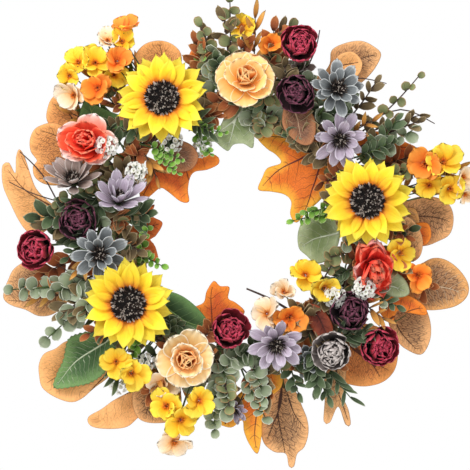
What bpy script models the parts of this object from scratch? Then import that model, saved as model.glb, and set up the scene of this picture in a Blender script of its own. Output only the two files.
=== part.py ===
"""Harvest door wreath: fabric flower heads and leaves on stems, bound to a ring of twisted grapevine canes.

The wreath hangs in the XZ plane and faces -Y. The origin is the point of the wire hanger's eye that bears on
the door's hook. Every piece hangs from an empty at the ring's centre: x is to the right, z is up, and "depth"
is the distance in front of the ring's middle plane. A clock angle is in degrees, anticlockwise from the right
as seen from the front, and "out" is the distance outside the canes' centre circle.
"""

import math

import bmesh
import bpy
from mathutils import Matrix, Vector

# Ring of canes
RING_RADIUS = 0.124
CANE_RADIUS = 0.0038
CANE_GAP = 0.0006
CANE_TURNS = 3
CANE_POINTS = 42
CANES = 4

# Wire that binds the stems to the canes
BINDING_RADIUS = 0.0008
BINDING_TURNS = 12
BINDING_POINTS_PER_TURN = 10
BINDING_CLEAR_DEG = 7

# Wire hanger: a collar that turns round the bound canes, a twisted neck and an eye
HANGER_WIRE_RADIUS = 0.0010
COLLAR_CLEARANCE = 0.0006
NECK_RADIUS = 0.0017
NECK_LENGTH = 0.012
NECK_SINK = 0.0006
EYE_RADIUS = 0.0085

# Fits
GAP = 0.0004
STEM_RADIUS = 0.0014

# Sunflower heads
SUNFLOWER_REACH = 0.0435
SUNFLOWER_DISC = 0.0170
SUNFLOWER_DISC_HEIGHT = 0.0075
SUNFLOWER_RISE = 0.0065
SUNFLOWER_PETALS = 15
PETAL_THICKNESS = 0.0010
SUNFLOWER_CALYX = 0.0130
SUNFLOWER_CALYX_HEIGHT = 0.0075

# Daisy heads
DAISY_REACH = 0.0255
DAISY_RISE = 0.0070
DAISY_PETALS = 10
DAISY_BUTTON = 0.0062
DAISY_BUTTON_HEIGHT = 0.0045
DAISY_NECK = 0.0020
DAISY_NECK_CLEARANCE = 0.0022
DAISY_BUTTON_LIP = 0.0001

# Roses
ROSE_REACH = 0.0285
ROSE_DEPTH = 0.0210
CORAL_REACH = 0.0260
SMALL_ROSE_RADIUS = 0.0170
SMALL_ROSE_DEPTH = 0.0260
ROSE_CALYX = 0.0080
ROSE_CALYX_FOOT = 0.0040
ROSE_CALYX_HEIGHT = 0.0040
# How far behind its petals' back a rose's stem starts to bend
ROSE_STEM_START = 0.0060
CORAL_STEM_START = 0.0040
SMALL_ROSE_STEM_START = 0.0030
# Distance in front of the back, and share of the full radius
SMALL_ROSE_RINGS = ((0.0, 0.30), (0.22, 0.85), (0.55, 1.0), (0.85, 0.85), (1.0, 0.5))
CORAL_ROSE_RINGS = ((0.0, 0.25), (0.004, 0.65), (0.014, 1.0), (0.024, 1.0), (0.028, 0.6))
CORAL_BUD_RINGS = ((0.0, 0.30), (0.006, 0.62), (0.018, 0.80), (0.030, 0.72), (0.040, 0.45), (0.046, 0.2))

# Leaves
LEAF_THICKNESS = 0.0009
LEAF_STALK = 0.0014
LEAF_STALK_SHARE = 0.22

MATERIALS = {
    "cane": ((0.14, 0.075, 0.035), 0.8, 0.0),
    "binding": ((0.10, 0.16, 0.06), 0.7, 0.0),
    "steel_wire": ((0.35, 0.35, 0.36), 0.4, 1.0),
    "stem_plastic": ((0.10, 0.19, 0.05), 0.55, 0.0),
    "sunflower_petal": ((0.95, 0.70, 0.02), 0.7, 0.0),
    "sunflower_seed": ((0.03, 0.018, 0.012), 0.85, 0.0),
    "cream_petal": ((0.93, 0.70, 0.40), 0.7, 0.0),
    "coral_petal": ((0.90, 0.22, 0.12), 0.7, 0.0),
    "wine_petal": ((0.34, 0.015, 0.035), 0.65, 0.0),
    "dusty_petal": ((0.33, 0.28, 0.26), 0.75, 0.0),
    "grey_petal": ((0.30, 0.32, 0.33), 0.75, 0.0),
    "mauve_petal": ((0.52, 0.42, 0.50), 0.75, 0.0),
    "tan_leaf": ((0.72, 0.40, 0.15), 0.75, 0.0),
    "maple_leaf": ((0.78, 0.25, 0.04), 0.7, 0.0),
    "sage_leaf": ((0.30, 0.35, 0.22), 0.75, 0.0),
    "green_leaf": ((0.10, 0.20, 0.06), 0.7, 0.0),
    "blossom": ((0.95, 0.55, 0.05), 0.7, 0.0),
}

# Sizes that follow from those above
CANE_OFFSET = (2 * CANE_RADIUS + CANE_GAP) / (2 * math.sin(math.pi / CANES))
BUNDLE_RADIUS = CANE_OFFSET + CANE_RADIUS
BINDING_OFFSET = (BUNDLE_RADIUS + GAP + BINDING_RADIUS) / math.cos(math.pi / BINDING_POINTS_PER_TURN)
BOUND_RADIUS = BINDING_OFFSET + BINDING_RADIUS
COLLAR_RADIUS = BOUND_RADIUS + COLLAR_CLEARANCE + HANGER_WIRE_RADIUS
COLLAR_TOP_DEG = 45
NECK_BACK = COLLAR_RADIUS * math.sin(math.radians(COLLAR_TOP_DEG))
NECK_FOOT = COLLAR_RADIUS * math.cos(math.radians(COLLAR_TOP_DEG))
EYE_HEIGHT = NECK_FOOT + NECK_LENGTH + EYE_RADIUS
HANG_DROP = EYE_HEIGHT + EYE_RADIUS - HANGER_WIRE_RADIUS
STEM_SEAT = BOUND_RADIUS + GAP
DAISY_HOLE = DAISY_NECK + DAISY_NECK_CLEARANCE

# Heads: clock angle, out, depth of the petals' back, degrees that the face turns to the right and up
SUNFLOWERS = ((119, 0.019, 0.050, -3, 8), (215, 0.000, 0.056, 3, 2), (12, 0.006, 0.056, -10, 2))
CREAM_ROSES = ((86, 0.017, 0.036, 3, 24), (249, 0.008, 0.036, 5, -4))
# clock angle, out, depth, turn, lift, colour
DAISIES = (
    (54, 0.041, 0.044, 10, 12, "grey_petal"),
    (41, 0.009, 0.036, 4, -14, "mauve_petal"),
    (167, -0.009, 0.040, 14, 26, "mauve_petal"),
    (190, 0.008, 0.043, 4, -6, "grey_petal"),
    (290, -0.008, 0.038, 2, -8, "mauve_petal"),
    (164, 0.037, 0.036, -6, 40, "dusty_petal"),
)
SMALL_ROSES = (
    (71, 0.060, 0.022, 4, 12, "wine_petal"),
    (66, 0.025, 0.024, -6, -12, "wine_petal"),
    (177, 0.026, 0.014, -4, 6, "wine_petal"),
    (185, 0.062, 0.020, -16, -6, "wine_petal"),
    (265, -0.024, 0.022, 12, 8, "wine_petal"),
    (323, 0.013, 0.020, 6, 10, "wine_petal"),
    (321, 0.048, 0.024, 16, -12, "wine_petal"),
    (311, 0.025, 0.026, -12, -16, "dusty_petal"),
)
CORAL_ROSE = (149, 0.036, 0.034, -16, 8)
CORAL_BUD = (345, 0.012, 0.024, 30, -52)

# Leaves: clock angle of the root, out, depth of the root, aim of the tip, length, width, rise of the tip, roll
TAN_LEAVES = (
    (139, 0.014, 0.002, 143, 0.084, 0.042, 0.002, 10),
    (150, 0.014, -0.004, 160, 0.082, 0.046, 0.004, -8),
    (166, 0.014, 0.002, 163, 0.094, 0.026, 0.003, 20),
    (192, 0.014, 0.000, 200, 0.094, 0.048, 0.004, 6),
    (213, 0.014, 0.000, 219, 0.106, 0.060, 0.004, -6),
    (282, 0.014, 0.000, 284, 0.096, 0.050, 0.003, -8),
    (314, 0.014, 0.000, 313, 0.070, 0.056, 0.002, 6),
    (334, 0.014, -0.004, 322, 0.086, 0.044, 0.002, -6),
    (346, 0.014, 0.002, 338, 0.102, 0.060, 0.004, 8),
    (7, 0.014, -0.003, 3, 0.080, 0.052, 0.003, 6),
    (62, 0.014, 0.000, 46, 0.088, 0.048, 0.003, -6),
)
SAGE_LEAF = (97, -0.014, 0.004, 262, 0.044, 0.040, 0.000, 0)
GREEN_LEAF = (217, 0.014, 0.008, 221, 0.095, 0.040, 0.002, 4)
# Clock angle of the root, out, depth, aim of the tip, length
MAPLE_LEAVES = (
    (44, -0.014, 0.004, 212, 0.067),
    (190, -0.014, 0.004, 36, 0.054),
    (260, -0.014, 0.004, 91, 0.056),
    (278, 0.006, 0.0145, 276, 0.086),
)
# Name, clock angle of the root, out, clearance in front of the stems' seat, aim of the tip, length, rise of the
# tip, radius of a leaf, pairs of leaves, finish
SPRAYS = (
    ("eucalyptus_spray", 93, 0.004, 0.002, 86, 0.096, 0.004, 0.009, 3, "sage_leaf"),
    ("blossom_spray", 24, 0.014, 0.000, 12, 0.094, 0.010, 0.009, 2, "blossom"),
)


def material(name):
    found = bpy.data.materials.get(name)
    if found:
        return found
    colour, roughness, metallic = MATERIALS[name]
    made = bpy.data.materials.new(name)
    made.use_nodes = True
    shader = made.node_tree.nodes["Principled BSDF"]
    shader.inputs["Base Color"].default_value = (*colour, 1)
    shader.inputs["Roughness"].default_value = roughness
    shader.inputs["Metallic"].default_value = metallic
    return made


def polar(clock, out, depth):
    """A point of the wreath, from the ring's centre."""
    angle = math.radians(clock)
    radius = RING_RADIUS + out
    return Vector((radius * math.cos(angle), -depth, radius * math.sin(angle)))


def facing(turn, lift):
    """The way a head looks: straight to the front, turned to the right and up by these angles."""
    return Vector((math.tan(math.radians(turn)), -1, math.tan(math.radians(lift)))).normalized()


def add(name, data, finish, parent, matrix=None):
    """A named object with its own material slot, placed under the parent empty."""
    obj = bpy.data.objects.new(name, data)
    parts.objects.link(obj)
    obj.parent = parent
    obj.matrix_local = matrix or Matrix.Identity(4)
    data.materials.append(material(finish))
    if isinstance(data, bpy.types.Mesh):
        data.shade_smooth()
    return obj


def head_matrix(clock, out, depth, turn, lift):
    """Places a head whose own +Z is the way it looks, and whose origin is the middle of its petals' back."""
    look = facing(turn, lift)
    turned = look.to_track_quat("Z", "Y").to_matrix().to_4x4()
    return Matrix.Translation(polar(clock, out, depth)) @ turned


def tube(name, points, radii, sides, finish, cyclic=False, parent=None):
    """A round tube through the points, on a poly spline, with a radius at each point."""
    curve = bpy.data.curves.new(name, "CURVE")
    curve.dimensions = "3D"
    curve.bevel_depth = 1.0
    curve.bevel_resolution = (sides - 4) // 2
    curve.use_fill_caps = not cyclic
    spline = curve.splines.new("POLY")
    spline.points.add(len(points) - 1)
    for point, place, radius in zip(spline.points, points, radii):
        point.co = (*place, 1)
        point.radius = radius
    spline.use_cyclic_u = cyclic
    return add(name, curve, finish, parent or wreath)


def ring_point(clock, offset, phase):
    """A point on the surface of a tube of radius offset round the ring's centre circle."""
    return polar(clock, offset * math.cos(phase), offset * math.sin(phase))


def canes():
    """Grapevine canes that wind round each other all the way round the ring."""
    for index in range(CANES):
        start = math.tau * index / CANES
        points = [
            ring_point(360 * i / CANE_POINTS, CANE_OFFSET, start + math.tau * CANE_TURNS * i / CANE_POINTS)
            for i in range(CANE_POINTS)
        ]
        tube(f"cane_{index + 1}", points, [CANE_RADIUS] * CANE_POINTS, 6, "cane", cyclic=True)


def binding():
    """One wire wound over the canes, from one side of the hanger all the way round to the other."""
    count = BINDING_TURNS * BINDING_POINTS_PER_TURN
    span = 360 - 2 * BINDING_CLEAR_DEG
    points = [
        ring_point(
            90 + BINDING_CLEAR_DEG + span * i / count, BINDING_OFFSET, math.tau * i / BINDING_POINTS_PER_TURN
        )
        for i in range(count + 1)
    ]
    tube("binding_wire", points, [BINDING_RADIUS] * len(points), 4, "binding")


def join(name, shapes, finish, parent):
    """Unites overlapping mesh objects into one body, which takes the first one's place."""
    first = shapes[0]
    for other in shapes[1:]:
        union = first.modifiers.new("join", "BOOLEAN")
        union.operation = "UNION"
        union.solver = "EXACT"
        union.object = other
    bpy.context.view_layer.update()
    graph = bpy.context.evaluated_depsgraph_get()
    mesh = bpy.data.meshes.new_from_object(first.evaluated_get(graph))
    mesh.transform(parent.matrix_world.inverted() @ first.matrix_world)
    for shape in shapes:
        bpy.data.objects.remove(shape)
    mesh.materials.clear()
    return add(name, mesh, finish, parent)


def primitive(operator, **sizes):
    """A primitive's object, in the scene and not yet in the parts collection."""
    operator(**sizes)
    return bpy.context.object


def hanger():
    """Wire collar round the bound canes at the top, a twisted neck behind it and an eye for the hook."""
    collar = primitive(
        bpy.ops.mesh.primitive_torus_add,
        major_radius=COLLAR_RADIUS,
        minor_radius=HANGER_WIRE_RADIUS,
        major_segments=28,
        minor_segments=6,
        rotation=(0, math.pi / 2, 0),
        location=pivot.matrix_world.translation,
    )
    foot = pivot.matrix_world.translation + Vector((0, NECK_BACK, NECK_FOOT))
    neck = primitive(
        bpy.ops.mesh.primitive_cylinder_add,
        vertices=8,
        radius=NECK_RADIUS,
        depth=NECK_LENGTH + 2 * NECK_SINK,
        location=foot + Vector((0, 0, NECK_LENGTH / 2)),
    )
    eye = primitive(
        bpy.ops.mesh.primitive_torus_add,
        major_radius=EYE_RADIUS,
        minor_radius=HANGER_WIRE_RADIUS,
        major_segments=24,
        minor_segments=6,
        rotation=(math.pi / 2, 0, 0),
        location=foot + Vector((0, 0, EYE_HEIGHT - NECK_FOOT)),
    )
    join("hanger_loop", [neck, collar, eye], "steel_wire", pivot)


def stem_route(clock, out, depth, turn, lift, behind, steps=6):
    """A smooth route from the front of the bound canes to the point this far behind a head, along its look."""
    look = facing(turn, lift)
    seat = polar(clock, 0, STEM_SEAT)
    end = polar(clock, out, depth) - look * behind
    reach = (end - seat).length
    first = seat + Vector((0, -0.22 * reach, 0))
    second = end - look * (0.35 * reach)
    route = []
    for i in range(steps + 1):
        t = i / steps
        s = 1 - t
        route.append(s**3 * seat + 3 * s * s * t * first + 3 * s * t * t * second + t**3 * end)
    return route, look


def headed_stem(name, place, behind, rings, sides, finish):
    """A stem that widens into the turned rings (distance along the look, radius) at its head."""
    route, look = stem_route(*place, behind)
    middle = polar(*place[:3])
    points = route + [middle + look * along for along, _ in rings]
    radii = [STEM_RADIUS] * len(route) + [radius for _, radius in rings]
    return tube(name, points, radii, sides, finish)


def petal_dish(name, place, petals, hub, reach, valley, rise, hole, finish):
    """A dish of petals: a cone whose rim points are pulled in between the petals, given a cloth's thickness."""
    mesh = bpy.data.meshes.new(name)
    shape = bmesh.new()
    bmesh.ops.create_cone(
        shape, cap_ends=not hole, segments=2 * petals, radius1=hub, radius2=reach, depth=rise
    )
    rim = [v for v in shape.verts if v.co.z > 0]
    for vertex in shape.verts:
        vertex.co.z += rise / 2
    for vertex in rim:
        step = round(math.atan2(vertex.co.x, vertex.co.y) / (math.pi / petals))
        if step % 2:
            vertex.co.xy *= valley / reach
            vertex.co.z *= 0.6
    if not hole:
        top = [f for f in shape.faces if all(v in rim for v in f.verts)]
        bmesh.ops.delete(shape, geom=top, context="FACES_ONLY")
    bmesh.ops.recalc_face_normals(shape, faces=shape.faces)
    shape.to_mesh(mesh)
    shape.free()
    obj = add(name, mesh, finish, wreath, head_matrix(*place))
    wall = obj.modifiers.new("cloth", "SOLIDIFY")
    wall.thickness = PETAL_THICKNESS
    wall.offset = 0
    return obj


def turned(name, place, profile, steps, finish):
    """A solid turned about a head's look, from a profile that runs down its outer side."""
    mesh = bpy.data.meshes.new(name)
    edges = [(i, i + 1) for i in range(len(profile) - 1)]
    mesh.from_pydata([(x, 0, z) for x, z in profile], edges, [])
    obj = add(name, mesh, finish, wreath, head_matrix(*place))
    spin = obj.modifiers.new("turn", "SCREW")
    spin.axis = "Z"
    spin.steps = steps
    spin.render_steps = steps
    spin.use_merge_vertices = True
    spin.merge_threshold = 0.00005
    return obj


def sunflowers():
    """Two stamped rows of petals taken as one dish, a seed head glued on it and a calyx on its stem."""
    half = PETAL_THICKNESS / 2
    seat = half + GAP
    for number, place in enumerate(SUNFLOWERS, 1):
        name = f"sunflower_{number}"
        petal_dish(
            name + "_petals",
            place,
            SUNFLOWER_PETALS,
            SUNFLOWER_DISC,
            SUNFLOWER_REACH,
            0.74 * SUNFLOWER_REACH,
            SUNFLOWER_RISE,
            False,
            "sunflower_petal",
        )
        dome = [
            (
                (SUNFLOWER_DISC - GAP - half) * math.sin(math.radians(a)),
                seat + SUNFLOWER_DISC_HEIGHT * math.cos(math.radians(a)),
            )
            for a in (0, 30, 60, 90)
        ]
        turned(name + "_disc", place, [*dome, (0, seat)], 16, "sunflower_seed")
        rings = (
            (-0.5 * SUNFLOWER_CALYX_HEIGHT, 0.5 * SUNFLOWER_CALYX),
            (-seat, SUNFLOWER_CALYX),
        )
        headed_stem(name + "_stem", place, SUNFLOWER_CALYX_HEIGHT, rings, 8, "stem_plastic")


def daisies():
    """A stamped row of petals threaded on its stem and held by the button at the stem's tip."""
    half = PETAL_THICKNESS / 2
    under = half + GAP
    for number, (*place, finish) in enumerate(DAISIES, 1):
        name = f"daisy_{number}"
        petal_dish(
            name + "_petals",
            place,
            DAISY_PETALS,
            DAISY_HOLE,
            DAISY_REACH,
            0.72 * DAISY_REACH,
            DAISY_RISE,
            True,
            finish,
        )
        lip = DAISY_RISE * (DAISY_BUTTON - DAISY_HOLE) / (DAISY_REACH - DAISY_HOLE) + under + half
        rings = (
            (-under, DAISY_NECK),
            (lip, DAISY_NECK),
            (lip + DAISY_BUTTON_LIP, DAISY_BUTTON),
            (lip + DAISY_BUTTON_HEIGHT * 0.6, 0.85 * DAISY_BUTTON),
            (lip + DAISY_BUTTON_HEIGHT, 0.4 * DAISY_BUTTON),
        )
        headed_stem(name + "_stem", place, 2 * under, rings, 8, "stem_plastic")


def cream_roses():
    """Full-blown roses: a flared cup of petals with a rolled heart, and a calyx on its stem."""
    for number, place in enumerate(CREAM_ROSES, 1):
        name = f"cream_rose_{number}"
        profile = [
            (0, 0.72 * ROSE_DEPTH),
            (0.28 * ROSE_REACH, 0.86 * ROSE_DEPTH),
            (0.50 * ROSE_REACH, 0.70 * ROSE_DEPTH),
            (0.96 * ROSE_REACH, 1.00 * ROSE_DEPTH),
            (1.00 * ROSE_REACH, 0.86 * ROSE_DEPTH),
            (0.72 * ROSE_REACH, 0.30 * ROSE_DEPTH),
            (0.36 * ROSE_REACH, 0),
            (0, 0),
        ]
        turned(name + "_petals", place, profile, 14, "cream_petal")
        rings = ((-ROSE_CALYX_HEIGHT, ROSE_CALYX_FOOT), (-GAP, ROSE_CALYX))
        headed_stem(name + "_stem", place, ROSE_STEM_START, rings, 8, "stem_plastic")


def small_roses():
    """Ranunculus-like heads: a ball of crumpled petals on its own stem."""
    for number, (*place, finish) in enumerate(SMALL_ROSES, 1):
        name = "dusty_rose" if finish == "dusty_petal" else f"wine_rose_{number}"
        rings = [(along * SMALL_ROSE_DEPTH, share * SMALL_ROSE_RADIUS) for along, share in SMALL_ROSE_RINGS]
        headed_stem(name, place, SMALL_ROSE_STEM_START, rings, 10, finish)


def coral_roses():
    """A half-open rose at the upper left and a long ruffled bud at the right."""
    cup = [(along, share * CORAL_REACH) for along, share in CORAL_ROSE_RINGS]
    headed_stem("coral_rose", CORAL_ROSE, CORAL_STEM_START, cup, 12, "coral_petal")
    bud = [(along, share * CORAL_REACH) for along, share in CORAL_BUD_RINGS]
    headed_stem("coral_bud", CORAL_BUD, CORAL_STEM_START, bud, 10, "coral_petal")


def leaf_matrix(clock, out, depth, aim, rise, length, roll):
    """Places a leaf whose own +X runs from root to tip and whose own +Z is its face."""
    angle = math.radians(aim)
    along = Vector((math.cos(angle), -rise / length, math.sin(angle))).normalized()
    face = Vector((0, -1, 0))
    across = face.cross(along).normalized()
    face = along.cross(across)
    turned_to = Matrix((along, across, face)).transposed().to_4x4()
    return Matrix.Translation(polar(clock, out, depth)) @ turned_to @ Matrix.Rotation(
        math.radians(roll), 4, "X"
    )


def blade(name, place, length, width, finish):
    """A leaf blade on its stalk: a grid drawn in to the leaf's outline, cupped, and given a thickness."""
    mesh = bpy.data.meshes.new(name)
    shape = bmesh.new()
    bmesh.ops.create_grid(shape, x_segments=9, y_segments=2, size=0.5)
    for vertex in shape.verts:
        u = vertex.co.x + 0.5
        v = 2 * vertex.co.y
        t = max(0.0, (u - LEAF_STALK_SHARE) / (1 - LEAF_STALK_SHARE))
        half = max(LEAF_STALK / 2, width / 2 * math.sin(math.pi * t**0.85) ** 0.7 if 0 < t < 1 else 0)
        vertex.co = (u * length, v * half, 0.08 * width * abs(v) * min(1, 3 * t) * min(1, 4 * (1 - t)))
    shape.to_mesh(mesh)
    shape.free()
    obj = add(name, mesh, finish, wreath, leaf_matrix(*place))
    wall = obj.modifiers.new("cloth", "SOLIDIFY")
    wall.thickness = LEAF_THICKNESS
    wall.offset = 0
    return obj


def plate(name, place, outline, finish):
    """A flat stamped piece, from its outline."""
    curve = bpy.data.curves.new(name, "CURVE")
    curve.dimensions = "2D"
    curve.fill_mode = "BOTH"
    curve.extrude = LEAF_THICKNESS / 2
    spline = curve.splines.new("POLY")
    spline.points.add(len(outline) - 1)
    for point, (x, y) in zip(spline.points, outline):
        point.co = (x, y, 0, 1)
    spline.use_cyclic_u = True
    return add(name, curve, finish, wreath, leaf_matrix(*place))


def maple_outline(length):
    """Five shouldered lobes that spread from the end of the stalk, with round notches between them."""
    stalk = LEAF_STALK_SHARE * length
    blade_reach = length - stalk
    lobes = ((-104, 0.46), (-50, 0.88), (0, 1.0), (50, 0.88), (104, 0.46))
    shoulder = math.radians(15)

    def at(angle, reach):
        return (stalk + reach * blade_reach * math.cos(angle), reach * blade_reach * math.sin(angle))

    points = [(0, -LEAF_STALK / 2), (stalk, -LEAF_STALK / 2)]
    for index, (degrees, reach) in enumerate(lobes):
        angle = math.radians(degrees)
        points += [at(angle - shoulder, 0.78 * reach), at(angle, reach), at(angle + shoulder, 0.78 * reach)]
        if index < len(lobes) - 1:
            after, after_reach = lobes[index + 1]
            points.append(at(math.radians((degrees + after) / 2), 0.27 * (reach + after_reach)))
    return [*points, (stalk, LEAF_STALK / 2), (0, LEAF_STALK / 2)]


def spray_outline(length, leaf, pairs):
    """A stem with round leaves on both sides and one at its tip, as one flat outline."""
    half = LEAF_STALK / 2
    first = 0.2 * length
    pitch = (length - first - 2 * leaf) / pairs

    def side(sign):
        points = [(0, sign * half)]
        for i in range(pairs):
            x = first + pitch * i
            points.append((x, sign * half))
            for a in (200, 145, 90, 35, -20):
                angle = math.radians(a)
                points.append((x + leaf + leaf * math.cos(angle), sign * (half + leaf + leaf * math.sin(angle))))
            points.append((x + leaf + 0.4 * leaf, sign * half))
        return points

    tip = [
        (length - leaf + leaf * math.cos(math.radians(a)), leaf * math.sin(math.radians(a)))
        for a in (-110, -60, 0, 60, 110)
    ]
    left = side(1)
    return side(-1) + tip + left[::-1]


def leaves():
    """Large printed fabric leaves behind the flowers, and maple leaves at the ring's inner and lower edge."""
    broad = [(f"tan_leaf_{number}", sizes, "tan_leaf") for number, sizes in enumerate(TAN_LEAVES, 1)]
    broad += [("sage_leaf", SAGE_LEAF, "sage_leaf"), ("green_leaf", GREEN_LEAF, "green_leaf")]
    for name, (clock, out, depth, aim, length, width, rise, roll), finish in broad:
        blade(name, (clock, out, depth, aim, rise, length, roll), length, width, finish)
    for number, (clock, out, depth, aim, length) in enumerate(MAPLE_LEAVES, 1):
        plate(f"maple_leaf_{number}", (clock, out, depth, aim, 0, length, 0), maple_outline(length), "maple_leaf")


def sprays():
    """Wired sprays that reach past the flowers: eucalyptus at the top, blossoms at the right."""
    for name, clock, out, clearance, aim, length, rise, leaf, pairs, finish in SPRAYS:
        place = (clock, out, STEM_SEAT + clearance, aim, rise, length, 0)
        plate(name, place, spray_outline(length, leaf, pairs), finish)


for old in list(bpy.data.objects):
    bpy.data.objects.remove(old)

parts = bpy.data.collections.new("harvest_door_wreath")
bpy.context.scene.collection.children.link(parts)
wreath = bpy.data.objects.new("ring_centre", None)
wreath.location = (0, -NECK_BACK, -(RING_RADIUS + HANG_DROP))
pivot = bpy.data.objects.new("hanger_pivot", None)
pivot.location = (0, 0, RING_RADIUS)
pivot.parent = wreath
for empty in (wreath, pivot):
    parts.objects.link(empty)
bpy.context.view_layer.update()

canes()
binding()
hanger()
sunflowers()
cream_roses()
coral_roses()
small_roses()
daisies()
leaves()
sprays()
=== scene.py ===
"""Harvest door wreath: the looks of every piece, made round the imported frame.

Places come from the frame. A clock angle is in degrees, anticlockwise from the right as seen from the front,
"out" is the distance outside the ring's centre circle, and "depth" is the distance in front of the ring.
Both, and the sizes in the tables, are in millimetres.
"""

import math

import bmesh
import bpy
import numpy as np
from mathutils import Matrix, Vector
from mathutils.geometry import delaunay_2d_cdt


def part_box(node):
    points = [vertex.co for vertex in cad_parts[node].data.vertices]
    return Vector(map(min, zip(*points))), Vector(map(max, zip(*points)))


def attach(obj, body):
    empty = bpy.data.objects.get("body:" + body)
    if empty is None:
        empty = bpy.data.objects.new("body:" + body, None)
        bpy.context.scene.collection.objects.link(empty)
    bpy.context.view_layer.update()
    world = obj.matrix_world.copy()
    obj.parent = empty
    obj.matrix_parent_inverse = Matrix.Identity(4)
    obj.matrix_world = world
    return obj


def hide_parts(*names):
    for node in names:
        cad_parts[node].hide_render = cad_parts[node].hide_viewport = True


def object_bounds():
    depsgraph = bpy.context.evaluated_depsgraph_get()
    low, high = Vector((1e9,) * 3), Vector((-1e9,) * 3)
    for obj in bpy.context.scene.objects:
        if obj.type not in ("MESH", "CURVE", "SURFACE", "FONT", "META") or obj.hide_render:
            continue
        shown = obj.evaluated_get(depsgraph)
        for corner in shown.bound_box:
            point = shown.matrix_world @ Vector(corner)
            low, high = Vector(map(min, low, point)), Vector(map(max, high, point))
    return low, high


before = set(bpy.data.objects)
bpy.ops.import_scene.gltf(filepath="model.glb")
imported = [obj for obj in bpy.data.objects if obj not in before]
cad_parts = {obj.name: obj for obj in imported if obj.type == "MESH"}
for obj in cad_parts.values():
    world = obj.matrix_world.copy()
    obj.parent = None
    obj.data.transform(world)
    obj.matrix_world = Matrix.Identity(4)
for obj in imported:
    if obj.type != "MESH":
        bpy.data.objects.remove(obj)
cad_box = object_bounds()


# --- Ring of canes -----------------------------------------------------------------------------------------
# Four lengths of grapevine, soaked, wound round each other into a ring and dried. The bark is dark brown and
# flakes along the grain. Nothing but the twist holds them.

cane_boxes = [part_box(f"cane_{number}") for number in range(1, 5)]
ring_low = Vector(map(min, *(low for low, _ in cane_boxes)))
ring_high = Vector(map(max, *(high for _, high in cane_boxes)))
ring_centre = (ring_low + ring_high) / 2
bundle_radius = (ring_high.y - ring_low.y) / 2 * 1000
ring_radius = (ring_high.x - ring_low.x) / 2 * 1000 - bundle_radius
cane_radius = 3.8
cane_twists = 3


def polar(clock, out, depth):
    """A place on the wreath."""
    angle = math.radians(clock)
    radius = ring_radius + out
    return ring_centre + Vector((radius * math.cos(angle), -depth, radius * math.sin(angle))) / 1000


class Reading:
    """What a node tree's socket gives. Arithmetic on it adds Math nodes to the tree."""

    def __init__(self, tree, socket):
        self.tree = tree
        self.socket = socket

    def to(self, node, key):
        """Feeds a node's input."""
        self.tree.links.new(self.socket, node.inputs[key])

    def calc(self, operation, *terms):
        """Puts this reading and the terms through a Math node."""
        return put(self.tree, "ShaderNodeMath", dict(enumerate((self, *terms))), operation=operation)

    def clamped(self):
        """Keeps the last result from 0 to 1."""
        self.socket.node.use_clamp = True
        return self

    def __add__(self, other):
        return self.calc("ADD", other)

    def __sub__(self, other):
        return self.calc("SUBTRACT", other)

    def __rsub__(self, other):
        return put(self.tree, "ShaderNodeMath", {0: other, 1: self}, operation="SUBTRACT")

    def __mul__(self, other):
        return self.calc("MULTIPLY", other)

    def __truediv__(self, other):
        return self.calc("DIVIDE", other)


def put(tree, kind, sockets=None, output=0, **settings):
    """Adds a node and gives the reading of one output. The settings are its own, and each named socket gets a
    value or another reading."""
    node = tree.nodes.new(kind)
    for key, value in settings.items():
        setattr(node, key, value)
    for key, value in (sockets or {}).items():
        if isinstance(value, Reading):
            value.to(node, key)
        else:
            node.inputs[key].default_value = value
    return Reading(tree, node.outputs[output])


def vector(tree, x, y, z):
    """A vector from three numbers or readings."""
    return put(tree, "ShaderNodeCombineXYZ", {0: x, 1: y, 2: z})


def split(tree, place):
    """The X, Y and Z of a vector."""
    node = put(tree, "ShaderNodeSeparateXYZ", {0: place}).socket.node
    return [Reading(tree, socket) for socket in node.outputs]


def dye(code):
    """The shader's colour for a six-digit hex code, such as a dyer's chart gives."""
    parts = [int(code[i : i + 2], 16) / 255 for i in (0, 2, 4)]
    return (*(p / 12.92 if p < 0.04045 else ((p + 0.055) / 1.055) ** 2.4 for p in parts), 1)


def finish(name, roughness, sheen=0.0, metallic=0.0):
    """A new material, with its tree, its shader and the place of each point on the object."""
    made = bpy.data.materials.new(name)
    made.use_nodes = True
    tree = made.node_tree
    shader = tree.nodes["Principled BSDF"]
    shader.inputs["Roughness"].default_value = roughness
    shader.inputs["Sheen Weight"].default_value = sheen
    shader.inputs["Metallic"].default_value = metallic
    return made, tree, shader, put(tree, "ShaderNodeTexCoord", None, "Object")


def ramp(tree, factor, stops):
    """A colour that runs through the stops, each a place from 0 to 1 and a dye."""
    colour = put(tree, "ShaderNodeValToRGB", {"Fac": factor}, "Color")
    band = colour.socket.node.color_ramp.elements
    while len(band) < len(stops):
        band.new(0.5)
    for element, (place, code) in zip(band, stops):
        element.position = place
        element.color = dye(code)
    return colour


def mixed(tree, factor, first, second, mode="MIX"):
    """Two colours mixed by a factor."""
    sockets = {"Factor": factor, 6: first, 7: second}
    return put(tree, "ShaderNodeMix", sockets, 2, data_type="RGBA", blend_type=mode)


def speckle(tree, place, scale, detail=3.0, roughness=0.6):
    """A noise from 0 to 1."""
    sockets = {"Vector": place, "Scale": scale, "Detail": detail, "Roughness": roughness}
    return put(tree, "ShaderNodeTexNoise", sockets, "Fac")


def emboss(tree, shader, height, distance, strength=1.0):
    """Raises the surface by a height from 0 to 1."""
    sockets = {"Height": height, "Distance": distance, "Strength": strength}
    put(tree, "ShaderNodeBump", sockets).to(shader, "Normal")


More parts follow.
